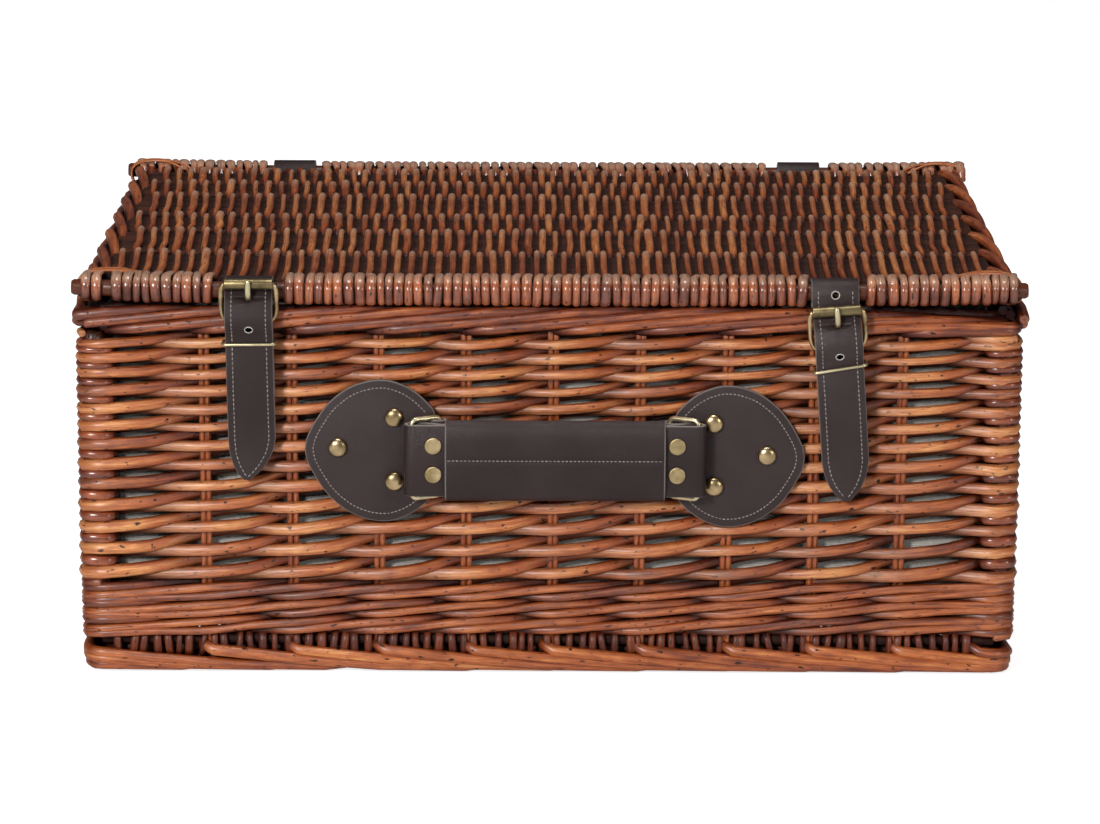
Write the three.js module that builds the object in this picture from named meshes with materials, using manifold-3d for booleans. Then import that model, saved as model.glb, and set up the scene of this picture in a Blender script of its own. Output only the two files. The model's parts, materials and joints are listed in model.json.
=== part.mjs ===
// Picnic basket of varnished willow with a hinged lid, two buckled leather straps and a leather handle.
// Units are millimetres, +Z is up, the front faces -Y and +X is the right hand side seen from the front.

import * as THREE from 'three';
import Module from 'manifold-3d';
import { mergeVertices } from 'three/addons/utils/BufferGeometryUtils.js';

const wasm = await Module();
wasm.setup();

// Fits
const gap = 0.3;
const slideGap = 0.6;

// Body
const rimWidth = 473;
const rimDepth = 320;
const rimHeight = 14;
const rimRodBand = 14;
const wallInset = 3.5;
const wallThickness = 11;
const wallTopHeight = 174.2;
const footHeight = 15;
const footBand = 14;
const footInset = 3;
const baseThickness = 6;
const postSize = 14.5;
const bodyCornerRadius = 9;
const liningThickness = 1.6;
const liningCornerRadius = 15;
const liningTopDrop = 5;

// Lid
const lidEndInset = 1.5;
const stickRadius = 4.25;
const wrapThickness = 3.45;
const stickEndLength = 4;
const sideBandWidth = 13;
const lidPanelThickness = 11;
const lidPanelRise = 0.8;
const panelSlotRoom = 1.85;

// Leather
const strapWidth = 23.4;
const strapThickness = 2.8;
const hingeThickness = 2.8;
const tabSideInset = 0.2;
const tabThickness = 2;
const patchThickness = 2.5;
const patchLoopThickness = 2.2;
const holeDiameter = 4;
const prongSideRoom = 0.8;
const loopSideRoom = 1.5;

// Straps and buckles, left then right
const strapCentreX = [-147.6, 139.8];
const strapLean = [0.011, 0.079];
const heelDrop = [13.5, 26];
const strapReach = [94.5, 104.8];
const keeperDrop = [10.9, 9.7];
const frameWireDiameter = 2.6;
const frameSideRoom = 0.4;
const frameLength = 19.1;
const frameTiltReach = 2.3;
const rollerDiameter = 4.6;
const prongThickness = 2.6;
const prongWidth = 3;
const prongRest = 0.15;
const keeperWireDiameter = 1.6;
const keeperSideRoom = 0.5;
const tabRivetHead = 8;
const tabRivetHeadHeight = 1.9;
const tabRivetDrop = 31;

// Hinge straps, left then right
const hingeCentreX = [-141.5, 141];
const hingeWidth = 23.5;
const hingeTailLength = 62;
const hingeRivetHead = 8;
const hingeRivetHeadHeight = 1.9;
const hingeRivetRises = [8, 22];

// Handle
const handleCentreX = 2.8;
const handleDrop = 60.3;
const gripLength = 108.5;
const gripHeight = 41;
const gripThickness = 10;
const endHeightRoom = 0.45;
const endThickness = 5;
const foldThickness = 2.3;
const endTongueLength = 14;
const ringWireDiameter = 2.7;
const ringOuterHeight = 42.5;
const handleWireFromGrip = 16.35;
const ringReach = 13.8;
const handleTravel = 4;
const patchLoopHeightRoom = 1.05;
const domeRivetDiameter = 9.4;
const domeRivetHeight = 3.3;
const domeFoldRoom = 0.35;
const domeSpread = 16.4;
const outerDome = [50.7, 2];
const flatRivetDiameter = 8.4;
const flatRivetHeight = 1.2;
const flatRivetFromGrip = 5.85;
const flatRivetSpacing = 14.6;

// Half of the patch outline: distance out from the ring's wire in the patch, and half height there
const patchOutline = [
  [3.7, 22.3], [9.7, 28.4], [16.2, 32.8], [23.8, 35.6], [29.2, 36.1], [36.2, 35.2],
  [45.6, 31.5], [55.1, 23.8], [61.8, 14.3], [66, 5.8],
];
const patchTip = 67;
const patchInnerEdge = 2.7;

// Sizes that follow from those above
const rimTop = wallTopHeight + gap + rimHeight;
const rimFront = -rimDepth / 2;
const rimBack = rimDepth / 2;
const wallOuterX = rimWidth / 2 - wallInset;
const wallOuterY = rimDepth / 2 - wallInset;
const wallFront = -wallOuterY;
const wallBottom = footHeight + gap + baseThickness + gap;
const wrapRadius = stickRadius + wrapThickness;
const rimBottom = wallTopHeight + gap;
const lidWidth = rimWidth - lidEndInset * 2;
const loopInner = stickRadius + gap;
const lidAxisZ = rimTop + gap + Math.max(wrapRadius, loopInner + Math.max(strapThickness, hingeThickness));
const heelHeight = heelDrop.map((drop) => lidAxisZ - drop);
const strapTipHeight = strapReach.map((reach) => lidAxisZ - reach);
const frontStickY = rimFront - gap + loopInner;
const hingeAxisY = rimBack + gap - loopInner;
const frameWire = frameWireDiameter / 2;
const heelY = rimFront - gap - tabThickness - gap - frameWire;
const frameOuterWidth = strapWidth + (frameSideRoom + frameWireDiameter) * 2;
const keeperOuterWidth = strapWidth + (keeperSideRoom + keeperWireDiameter) * 2;
const tabWidth = strapWidth - tabSideInset * 2;
const prongSlotWidth = prongWidth + prongSideRoom * 2;
const prongOut = frameTiltReach + rollerDiameter / 2 + gap + prongThickness / 2 + prongRest;
const frameTilt = Math.asin(frameTiltReach / frameLength);
const ringWire = ringWireDiameter / 2;
const gripEnd = gripLength / 2;
const handleCentreZ = rimBottom - handleDrop;
const handleWireOffset = gripEnd + handleWireFromGrip;
const patchWireOffset = handleWireOffset - ringReach;
const flatRivetOffset = gripEnd + flatRivetFromGrip;
const endHeight = ringOuterHeight - (ringWireDiameter + endHeightRoom) * 2;
const patchLoopHeight = ringOuterHeight - (ringWireDiameter + patchLoopHeightRoom) * 2;
const patchLoopRadius = ringWire + gap + patchLoopThickness;
const patchWireY = wallFront - gap - patchLoopRadius;
const endBackY = patchWireY - patchLoopRadius - gap;
const handleMidY = endBackY - endThickness / 2;
const ringSpan = Math.hypot(handleWireOffset - patchWireOffset, patchWireY - handleMidY);
const ringAngle = Math.asin((patchWireY - handleMidY) / ringSpan);
const ringEndAngle = Math.asin((patchWireY - handleMidY + handleTravel) / ringSpan);
const ringDrawIn = ringSpan * (Math.cos(ringAngle) - Math.cos(ringEndAngle));
const endSlotOuter = handleWireOffset + ringWire + gap;
const endSlotInner = handleWireOffset - ringDrawIn - ringWire - gap;
const domeOut = endSlotOuter + foldThickness + domeRivetDiameter / 2 + domeFoldRoom;
const domeOffsets = [
  [domeOut, domeSpread], [domeOut, -domeSpread], [patchWireOffset + outerDome[0], outerDome[1]],
];

console.log('ring angle at rest', ringAngle.toFixed(4), 'at full travel', ringEndAngle.toFixed(4));
console.log('ring turn per metre of handle travel', ((ringEndAngle - ringAngle) / handleTravel * 1000).toFixed(2));

// The frame's origin is the middle of the whole depth, from the handle's front to the lid's back stick
const frontReach = endBackY - gripThickness;
const backReach = hingeAxisY + wrapRadius;
const depthShift = -(frontReach + backReach) / 2;
console.log('depth shift', depthShift.toFixed(3), 'lid axis', (hingeAxisY + depthShift).toFixed(3),
  lidAxisZ.toFixed(3), 'front stick', (frontStickY + depthShift).toFixed(3));

// Directions for the extruded profiles
const alongX = new THREE.Matrix4().makeBasis(
  new THREE.Vector3(0, 1, 0), new THREE.Vector3(0, 0, 1), new THREE.Vector3(1, 0, 0));
const alongY = new THREE.Matrix4().makeBasis(
  new THREE.Vector3(1, 0, 0), new THREE.Vector3(0, 0, 1), new THREE.Vector3(0, -1, 0));

function outline(points) {
  return new THREE.Shape(points.map(([x, y]) => new THREE.Vector2(x, y)));
}

function circlePoints(x, y, radius, count) {
  return Array.from({ length: count }, (_, i) => {
    const angle = (i + 0.5) / count * Math.PI * 2;
    return [x + radius * Math.cos(angle), y + radius * Math.sin(angle)];
  });
}

function roundedRectangle(width, height, radius, steps = 3) {
  const points = [];
  const corners = [[1, 1, 0], [-1, 1, 90], [-1, -1, 180], [1, -1, 270]];
  for (const [sx, sy, start] of corners) {
    for (let i = 0; i <= steps; i += 1) {
      const angle = THREE.MathUtils.degToRad(start + i / steps * 90);
      points.push([
        sx * (width / 2 - radius) + radius * Math.cos(angle),
        sy * (height / 2 - radius) + radius * Math.sin(angle),
      ]);
    }
  }
  return points;
}

function extrude(points, depth, holes = []) {
  const shape = outline(points);
  for (const hole of holes) {
    shape.holes.push(outline(hole));
  }
  return new THREE.ExtrudeGeometry(shape, { depth, bevelEnabled: false });
}

// A profile of (y, z) points carried along X, centred on x
function sideProfile(points, width, x = 0, holes = []) {
  const geometry = extrude(points, width, holes);
  geometry.translate(0, 0, -width / 2);
  geometry.applyMatrix4(alongX);
  return geometry.translate(x, 0, 0);
}

// A profile of (x, z) points carried along Y from its front face
function frontProfile(points, depth, frontY, holes = []) {
  const geometry = extrude(points, depth, holes);
  geometry.translate(0, 0, -depth);
  geometry.applyMatrix4(alongY);
  return geometry.translate(0, frontY, 0);
}

// A profile of (x, y) points carried up Z from its bottom face
function plan(points, height, bottom, holes = []) {
  return extrude(points, height, holes).translate(0, 0, bottom);
}

function box(low, high) {
  const geometry = new THREE.BoxGeometry(high[0] - low[0], high[1] - low[1], high[2] - low[2]);
  return geometry.translate((high[0] + low[0]) / 2, (high[1] + low[1]) / 2, (high[2] + low[2]) / 2);
}

// A cylinder whose axis runs along X, Y or Z
function rod(radius, length, axis, centre, sides = 24) {
  const geometry = new THREE.CylinderGeometry(radius, radius, length, sides);
  if (axis === 'x') {
    geometry.rotateZ(Math.PI / 2);
  }
  if (axis === 'z') {
    geometry.rotateX(Math.PI / 2);
  }
  return geometry.translate(...centre);
}

function toSolid(geometry) {
  const bare = geometry.clone();
  bare.deleteAttribute('normal');
  bare.deleteAttribute('uv');
  const merged = mergeVertices(bare, 1e-4);
  const mesh = new wasm.Mesh({
    numProp: 3,
    vertProperties: Float32Array.from(merged.attributes.position.array),
    triVerts: Uint32Array.from(merged.index.array),
  });
  return new wasm.Manifold(mesh);
}

function fromSolid(solid) {
  const mesh = solid.getMesh();
  const geometry = new THREE.BufferGeometry();
  const count = mesh.vertProperties.length / mesh.numProp;
  const positions = new Float32Array(count * 3);
  for (let i = 0; i < count; i += 1) {
    for (let k = 0; k < 3; k += 1) {
      positions[i * 3 + k] = mesh.vertProperties[i * mesh.numProp + k];
    }
  }
  geometry.setAttribute('position', new THREE.BufferAttribute(positions, 3));
  geometry.setIndex(Array.from(mesh.triVerts));
  return geometry;
}

function join(...geometries) {
  return fromSolid(geometries.map(toSolid).reduce((a, b) => a.add(b)));
}

function cut(geometry, ...tools) {
  return fromSolid(tools.map(toSolid).reduce((a, b) => a.subtract(b), toSolid(geometry)));
}

function common(a, b) {
  return fromSolid(toSolid(a).intersect(toSolid(b)));
}

// Both faces of a sheet that follows a line of (y, z) points
function band(points, thickness) {
  const left = [];
  const right = [];
  for (let i = 0; i < points.length; i += 1) {
    const here = new THREE.Vector2(...points[i]);
    const before = new THREE.Vector2(...points[Math.max(i - 1, 0)]);
    const after = new THREE.Vector2(...points[Math.min(i + 1, points.length - 1)]);
    const into = here.clone().sub(before).normalize();
    const out = after.clone().sub(here).normalize();
    const first = i === 0 ? out : into;
    const last = i === points.length - 1 ? into : out;
    const mid = first.clone().add(last).normalize();
    const reach = thickness / 2 / Math.max(0.5, mid.dot(first));
    left.push([here.x - mid.y * reach, here.y + mid.x * reach]);
    right.push([here.x + mid.y * reach, here.y - mid.x * reach]);
  }
  return [...left, ...right.reverse()];
}

// Smooth line through a few (y, z) points
function smooth(points, count) {
  const curve = new THREE.CatmullRomCurve3(points.map(([y, z]) => new THREE.Vector3(y, z, 0)));
  return curve.getPoints(count).map((p) => [p.x, p.y]);
}

// Closed rectangular wire with rounded corners, in the plane of X and Z
class WireLoop extends THREE.Curve {
  constructor(width, height, radius) {
    super();
    this.points = roundedRectangle(width, height, radius, 4).map(([x, z]) => new THREE.Vector3(x, 0, z));
  }

  getPoint(t) {
    const count = this.points.length;
    const place = (t % 1) * count;
    const i = Math.floor(place) % count;
    return this.points[i].clone().lerp(this.points[(i + 1) % count], place - Math.floor(place));
  }

  getPointAt(t) {
    return this.getPoint(t);
  }

  getTangentAt(t) {
    const step = 0.5 / this.points.length;
    const ahead = this.getPoint((t + step) % 1);
    return ahead.sub(this.getPoint((t + 1 - step) % 1)).normalize();
  }

  get segments() {
    return this.points.length;
  }
}

function wireLoop(width, height, radius, wireRadius, sides = 8) {
  const curve = new WireLoop(width, height, radius);
  return new THREE.TubeGeometry(curve, curve.segments, wireRadius, sides, true);
}

// Hangs an upright piece, made at x = 0, from the lid's front stick with the strap's own lean
function hang(geometry, i) {
  geometry.translate(0, 0, -lidAxisZ);
  geometry.rotateY(-strapLean[i]);
  return geometry.translate(strapCentreX[i], 0, lidAxisZ);
}

// Where a point of the strap's middle at an upright height comes to lie: (x, z)
function hangPlace(i, height) {
  const drop = lidAxisZ - height;
  return [strapCentreX[i] + drop * Math.sin(strapLean[i]), lidAxisZ - drop * Math.cos(strapLean[i])];
}

// Materials
function willow(colour) {
  return new THREE.MeshStandardMaterial({ color: colour, roughness: 0.45, metalness: 0 });
}

function leather(colour) {
  return new THREE.MeshStandardMaterial({ color: colour, roughness: 0.6, metalness: 0 });
}

function brass(colour) {
  return new THREE.MeshStandardMaterial({ color: colour, roughness: 0.35, metalness: 1 });
}

const basket = new THREE.Group();
basket.name = 'picnic_basket';

const bodyGroup = new THREE.Group();
bodyGroup.name = 'body_group';
const lidGroup = new THREE.Group();
lidGroup.name = 'lid_group';
const strapGroup = new THREE.Group();
strapGroup.name = 'strap_group';
const handleGroup = new THREE.Group();
handleGroup.name = 'handle_group';
basket.add(bodyGroup, lidGroup, strapGroup, handleGroup);
basket.position.y = depthShift;

function add(group, name, geometry, material) {
  const flat = geometry.index ? geometry.toNonIndexed() : geometry;
  flat.deleteAttribute('normal');
  flat.computeVertexNormals();
  const mesh = new THREE.Mesh(flat, material);
  mesh.name = name;
  group.add(mesh);
  return mesh;
}

// Where the rivets pass through leather and wall: (x, z)
const shankRadius = 2;
const domePlaces = [-1, 1].flatMap(
  (side) => domeOffsets.map(([out, up]) => [handleCentreX + side * out, handleCentreZ + up]));
const tabRivetPlaces = [0, 1].map((i) => hangPlace(i, heelHeight[i] - tabRivetDrop));
const hingeRivetPlaces = hingeCentreX.flatMap(
  (x) => hingeRivetRises.map((rise) => [x, lidAxisZ - hingeTailLength + rise]));

// Base and foot
const footOuter = roundedRectangle(rimWidth - footInset * 2, rimDepth - footInset * 2, bodyCornerRadius);
const footInner = roundedRectangle(
  rimWidth - (footInset + footBand) * 2, rimDepth - (footInset + footBand) * 2, 4);
add(bodyGroup, 'foot_border', plan(footOuter, footHeight, 0, [footInner]), willow(0x9a5a34));

const basePlan = roundedRectangle((wallOuterX - 1) * 2, (wallOuterY - 1) * 2, bodyCornerRadius);
add(bodyGroup, 'base_panel', plan(basePlan, baseThickness, footHeight + gap), willow(0x8f5230));

// Walls and corner posts
const wallHeight = wallTopHeight - wallBottom;
const frontWallReach = wallOuterX - postSize - gap;
const sideWallReach = wallOuterY - postSize - gap;
const wallPlan = (width) => roundedRectangle(width, wallThickness, 1.5, 1);

function boredWall(midY, places) {
  const slab = plan(wallPlan(frontWallReach * 2), wallHeight, wallBottom).translate(0, midY, 0);
  const bores = places.map(([x, z]) => rod(shankRadius + gap, wallThickness * 2, 'y', [x, midY, z], 16));
  return cut(slab, ...bores);
}
add(bodyGroup, 'front_wall', boredWall(-wallOuterY + wallThickness / 2, [...domePlaces, ...tabRivetPlaces]),
  willow(0xa8663c));
add(bodyGroup, 'back_wall', boredWall(wallOuterY - wallThickness / 2, hingeRivetPlaces), willow(0xa8663c));
for (const [name, side] of [['left_wall', -1], ['right_wall', 1]]) {
  const geometry = plan(wallPlan(sideWallReach * 2), wallHeight, wallBottom).rotateZ(Math.PI / 2);
  add(bodyGroup, name, geometry.translate(side * (wallOuterX - wallThickness / 2), 0, 0), willow(0xa8663c));
}

const postPlan = [
  [-postSize / 2, -postSize / 2],
  ...[0, 1, 2, 3].map((i) => {
    const angle = THREE.MathUtils.degToRad(i * 30);
    const centre = postSize / 2 - bodyCornerRadius + 1;
    return [
      centre + (bodyCornerRadius - 1) * Math.sin(angle) * 1,
      -centre - (bodyCornerRadius - 1) * Math.cos(angle),
    ];
  }),
  [postSize / 2, postSize / 2],
  [-postSize / 2, postSize / 2],
];
const cornerPosts = [
  ['front_left_post', -1, -1, -90], ['front_right_post', 1, -1, 0],
  ['back_right_post', 1, 1, 90], ['back_left_post', -1, 1, 180],
];
for (const [name, sx, sy, turn] of cornerPosts) {
  const geometry = plan(postPlan, wallHeight, wallBottom).rotateZ(THREE.MathUtils.degToRad(turn));
  geometry.translate(sx * (wallOuterX - postSize / 2), sy * (wallOuterY - postSize / 2), 0);
  add(bodyGroup, name, geometry, willow(0xa05e36));
}

// Rim border, one laid run of rods on each side, mitred at the corners
const rimHalfX = rimWidth / 2;
const rimHalfY = rimDepth / 2;
const mitre = gap / Math.SQRT2 / 2;
const rimCorner = 6;
function rimRun(halfLength, halfAcross) {
  return [
    [-halfLength + rimCorner, -halfAcross],
    [halfLength - rimCorner, -halfAcross],
    [halfLength - rimCorner / 3.4 - mitre * 2, -halfAcross + rimCorner / 3.4],
    [halfLength - rimRodBand - mitre * 2, -halfAcross + rimRodBand],
    [-halfLength + rimRodBand + mitre * 2, -halfAcross + rimRodBand],
    [-halfLength + rimCorner / 3.4 + mitre * 2, -halfAcross + rimCorner / 3.4],
  ];
}
add(bodyGroup, 'rim_front', plan(rimRun(rimHalfX, rimHalfY), rimHeight, rimBottom), willow(0xa8663c));
add(bodyGroup, 'rim_back',
  plan(rimRun(rimHalfX, rimHalfY), rimHeight, rimBottom).rotateZ(Math.PI), willow(0xa8663c));
add(bodyGroup, 'rim_left',
  plan(rimRun(rimHalfY, rimHalfX), rimHeight, rimBottom).rotateZ(-Math.PI / 2), willow(0xa8663c));
add(bodyGroup, 'rim_right',
  plan(rimRun(rimHalfY, rimHalfX), rimHeight, rimBottom).rotateZ(Math.PI / 2), willow(0xa8663c));

// Cloth lining, a bag open at the top
const liningHalfX = wallOuterX - wallThickness - gap;
const liningHalfY = wallOuterY - wallThickness - gap;
const liningTop = rimTop - liningTopDrop;
const liningOuter = plan(
  roundedRectangle(liningHalfX * 2, liningHalfY * 2, liningCornerRadius), liningTop - wallBottom, wallBottom);
const liningInner = plan(
  roundedRectangle(
    (liningHalfX - liningThickness) * 2, (liningHalfY - liningThickness) * 2,
    liningCornerRadius - liningThickness),
  liningTop, wallBottom + liningThickness);
add(bodyGroup, 'body_lining', cut(liningOuter, liningInner),
  new THREE.MeshStandardMaterial({ color: 0xb9b6ae, roughness: 0.95, metalness: 0 }));

// Lid: two wrapped long sticks, bare where the leather loops turn on them
function wrappedStick(y, bareCentres, bareWidth) {
  const half = lidWidth / 2;
  const pieces = [rod(stickRadius, lidWidth, 'x', [0, y, lidAxisZ])];
  const edges = [-half + stickEndLength];
  for (const centre of bareCentres) {
    edges.push(centre - bareWidth / 2, centre + bareWidth / 2);
  }
  edges.push(half - stickEndLength);
  for (let i = 0; i < edges.length; i += 2) {
    const length = edges[i + 1] - edges[i];
    pieces.push(rod(wrapRadius, length, 'x', [(edges[i] + edges[i + 1]) / 2, y, lidAxisZ]));
  }
  return join(...pieces);
}
add(lidGroup, 'lid_front_stick', wrappedStick(frontStickY, strapCentreX, strapWidth + loopSideRoom * 2), willow(0x8a4f30));
add(lidGroup, 'lid_back_stick', wrappedStick(hingeAxisY, hingeCentreX, hingeWidth + loopSideRoom * 2), willow(0x8a4f30));

const lidInnerFront = frontStickY + wrapRadius + gap;
const lidInnerBack = hingeAxisY - wrapRadius - gap;
const lidMidY = (lidInnerFront + lidInnerBack) / 2;
const sideX = lidWidth / 2 - stickEndLength - sideBandWidth / 2;
for (const [name, side] of [['lid_side_left', -1], ['lid_side_right', 1]]) {
  const section = roundedRectangle(sideBandWidth, wrapRadius * 2, 4, 2);
  const geometry = frontProfile(section, lidInnerBack - lidInnerFront, lidInnerFront);
  add(lidGroup, name, geometry.translate(side * sideX, 0, lidAxisZ), willow(0x8a4f30));
}
const panelHalfX = sideX - sideBandWidth / 2 - gap;
const panelLow = lidAxisZ + lidPanelRise - lidPanelThickness / 2;
const panelSlots = [];
for (const x of strapCentreX) {
  const half = strapWidth / 2 + loopSideRoom;
  panelSlots.push(box([x - half, lidInnerFront - 5, 0], [x + half, frontStickY + loopInner + strapThickness + panelSlotRoom, 400]));
}
for (const x of hingeCentreX) {
  const half = hingeWidth / 2 + loopSideRoom;
  panelSlots.push(box([x - half, hingeAxisY - loopInner - hingeThickness - panelSlotRoom, 0], [x + half, lidInnerBack + 5, 400]));
}
const panelBox = box(
  [-panelHalfX, lidInnerFront, panelLow], [panelHalfX, lidInnerBack, panelLow + lidPanelThickness]);
add(lidGroup, 'lid_panel', cut(panelBox, ...panelSlots), willow(0x8a4f30));

// Hinge straps: a loop round the back stick and a tail down the back wall
const hingeTailY = hingeAxisY + loopInner + hingeThickness / 2;
const hingeWallY = wallOuterY + gap + hingeThickness / 2;
for (const [i, name] of [[0, 'hinge_strap_left'], [1, 'hinge_strap_right']]) {
  const x = hingeCentreX[i];
  const line = [
    [hingeTailY, lidAxisZ], [hingeTailY, rimBottom - 1],
    [hingeWallY, rimBottom - 10], [hingeWallY, lidAxisZ - hingeTailLength],
  ];
  const loop = rod(loopInner + hingeThickness, hingeWidth, 'x', [x, hingeAxisY, lidAxisZ]);
  const tail = sideProfile(band(line, hingeThickness), hingeWidth, x);
  const bore = rod(loopInner, hingeWidth * 2, 'x', [x, hingeAxisY, lidAxisZ]);
  const holes = hingeRivetRises.map(
    (rise) => rod(shankRadius + gap, 40, 'y', [x, wallOuterY, lidAxisZ - hingeTailLength + rise], 16));
  add(bodyGroup, name, cut(join(loop, tail), bore, ...holes), leather(0x3e3230));
}

// A rivet whose head lies on a face and whose shank runs back through leather and wall
function rivet(x, z, faceY, outward, headDiameter, headHeight, shank, shankLength) {
  const head = headDiameter / 2;
  const lift = gap;
  const profile = [
    [0, -shankLength], [shank, -shankLength], [shank, lift], [head, lift], [head * 0.94, headHeight * 0.4],
    [head * 0.72, headHeight * 0.76], [head * 0.38, headHeight * 0.95], [0, headHeight],
  ];
  const geometry = new THREE.LatheGeometry(profile.map(([r, y]) => new THREE.Vector2(r, y)), 16);
  geometry.rotateX(outward < 0 ? Math.PI : 0);
  return fromSolid(toSolid(geometry)).translate(x, faceY, z);
}

const hingeRivetNames = [
  'hinge_rivet_left_low', 'hinge_rivet_left_high', 'hinge_rivet_right_low', 'hinge_rivet_right_high',
];
hingeRivetPlaces.forEach(([x, z], i) => {
  const faceY = wallOuterY + gap + hingeThickness;
  const shankLength = hingeThickness + gap + wallThickness - 1;
  add(bodyGroup, hingeRivetNames[i],
    rivet(x, z, faceY, 1, hingeRivetHead, hingeRivetHeadHeight, shankRadius, shankLength), brass(0xa58f5a));
});

// Buckle tabs, keepers, frames, rollers, prongs and the lid straps
const tabLineY = rimFront - gap - tabThickness;
const tabWallY = wallFront - gap - tabThickness;
const strapTopY = rimFront - gap - strapThickness / 2;
const strapFlatY = tabLineY - tabThickness - gap - strapThickness / 2;
const strapHeelY = heelY - frameWire - gap - tabThickness - gap * 2.4 - strapThickness / 2;
const strapTip = [[20.8, 1], [14, 0.91], [8, 0.7], [3.2, 0.42], [0.6, 0.16]];
const sides = ['left', 'right'];

for (const i of [0, 1]) {
  const side = sides[i];
  const heelZ = heelHeight[i];
  const tip = strapTipHeight[i];

  const foldRadius = frameWire + gap + tabThickness;
  const tabLine = [
    [tabLineY, heelZ - 1], [tabLineY, heelZ - 18], [tabWallY, heelZ - 24.5], [tabWallY, heelZ - 39],
  ];
  const fold = rod(foldRadius, tabWidth, 'x', [0, heelY, heelZ]);
  const tab = cut(
    join(fold, sideProfile(band(tabLine, tabThickness * 2), tabWidth)),
    rod(frameWire + gap, tabWidth * 2, 'x', [0, heelY, heelZ]),
    box([-2.3, heelY - 8, heelZ - 4.2], [2.3, heelY + 8, heelZ + 8]),
    rod(shankRadius + gap, 40, 'y', [0, wallFront, heelZ - tabRivetDrop], 16));
  add(bodyGroup, `buckle_tab_${side}`, hang(tab, i), leather(0x3e3230));

  const [rivetX, rivetZ] = tabRivetPlaces[i];
  const tabFace = tabWallY - tabThickness;
  add(bodyGroup, `tab_rivet_${side}`,
    rivet(rivetX, rivetZ, tabFace, -1, tabRivetHead, tabRivetHeadHeight, shankRadius,
      tabThickness * 2 + gap + wallThickness - 1),
    brass(0xa58f5a));

  const frame = wireLoop(frameOuterWidth - frameWireDiameter, frameLength, 1.7, frameWire);
  frame.translate(0, 0, frameLength / 2).rotateX(frameTilt).translate(0, heelY, heelZ);
  add(strapGroup, `buckle_frame_${side}`, hang(frame, i), brass(0xa58f5a));

  const rollerLength = frameOuterWidth - frameWireDiameter * 2 - gap * 4;
  const roller = cut(
    rod(rollerDiameter / 2, rollerLength, 'x', [0, 0, frameLength]),
    rod(frameWire + gap, rollerLength * 2, 'x', [0, 0, frameLength]));
  roller.rotateX(frameTilt).translate(0, heelY, heelZ);
  add(strapGroup, `roller_${side}`, hang(roller, i), brass(0xa58f5a));

  const armLine = [
    [heelY + 0.3, heelZ + 2.4], [heelY - 1.6, heelZ + 7], [heelY - prongOut + 2.05, heelZ + 12.2],
    [heelY - prongOut, heelZ + 16.4], [heelY - prongOut - 0.1, heelZ + 21],
  ];
  const prong = cut(
    join(
      rod(frameWire + gap + 1.3, prongWidth, 'x', [0, heelY, heelZ], 20),
      sideProfile(band(armLine, prongThickness), prongWidth)),
    rod(frameWire + gap, 10, 'x', [0, heelY, heelZ], 20));
  add(strapGroup, `prong_${side}`, hang(prong, i), brass(0xa58f5a));

  const keeperWire = keeperWireDiameter / 2;
  const keeperBack = tabLineY + tabThickness + gap + keeperWire;
  const keeperFront = strapFlatY - strapThickness / 2 - gap - keeperWire;
  const keeper = wireLoop(
    keeperOuterWidth - keeperWireDiameter, keeperBack - keeperFront, 1.5, keeperWire, 6);
  keeper.rotateX(Math.PI / 2);
  keeper.translate(0, (keeperBack + keeperFront) / 2, heelZ - keeperDrop[i]);
  add(strapGroup, `keeper_${side}`, hang(keeper, i), brass(0xa58f5a));

  const strapLine = [
    [strapTopY, lidAxisZ],
    [strapTopY, Math.min(lidAxisZ - 0.2, heelZ + 13.6)],
    [strapHeelY, heelZ + 2],
    [strapHeelY, heelZ - 1.6],
    [strapFlatY, heelZ - 8],
    [strapFlatY, heelZ - 23],
    [strapFlatY + 1, heelZ - 38],
    [wallFront - 4.6, tip],
  ];
  const tipOutline = [
    ...strapTip.map(([rise, part]) => [part * strapWidth / 2, tip + rise]),
    ...strapTip.map(([rise, part]) => [-part * strapWidth / 2, tip + rise]).reverse(),
    [-strapWidth / 2, lidAxisZ + 20],
    [strapWidth / 2, lidAxisZ + 20],
  ];
  const tail = common(
    sideProfile(band(strapLine, strapThickness), strapWidth),
    frontProfile(tipOutline, 60, wallFront - 40));
  const punched = [heelZ - 3];
  if (i === 1) {
    punched.push(heelZ + 26);
  }
  const holes = punched.map((z) => rod(holeDiameter / 2, 12, 'y', [0, strapTopY - 5.6, z], 12));
  const slot = box(
    [-prongSlotWidth / 2, strapTopY - 12, heelZ + 2.6],
    [prongSlotWidth / 2, strapTopY + strapThickness / 2 - 0.1, heelZ + 12.2]);
  const loop = rod(loopInner + strapThickness, strapWidth, 'x', [strapCentreX[i], frontStickY, lidAxisZ]);
  const bore = rod(loopInner, strapWidth * 2, 'x', [strapCentreX[i], frontStickY, lidAxisZ]);
  const strap = cut(join(loop, hang(tail, i)), bore, hang(join(slot), i), ...holes.map((h) => hang(h, i)));
  add(strapGroup, `strap_${side}`, strap, leather(0x3e3230));
}

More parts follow.
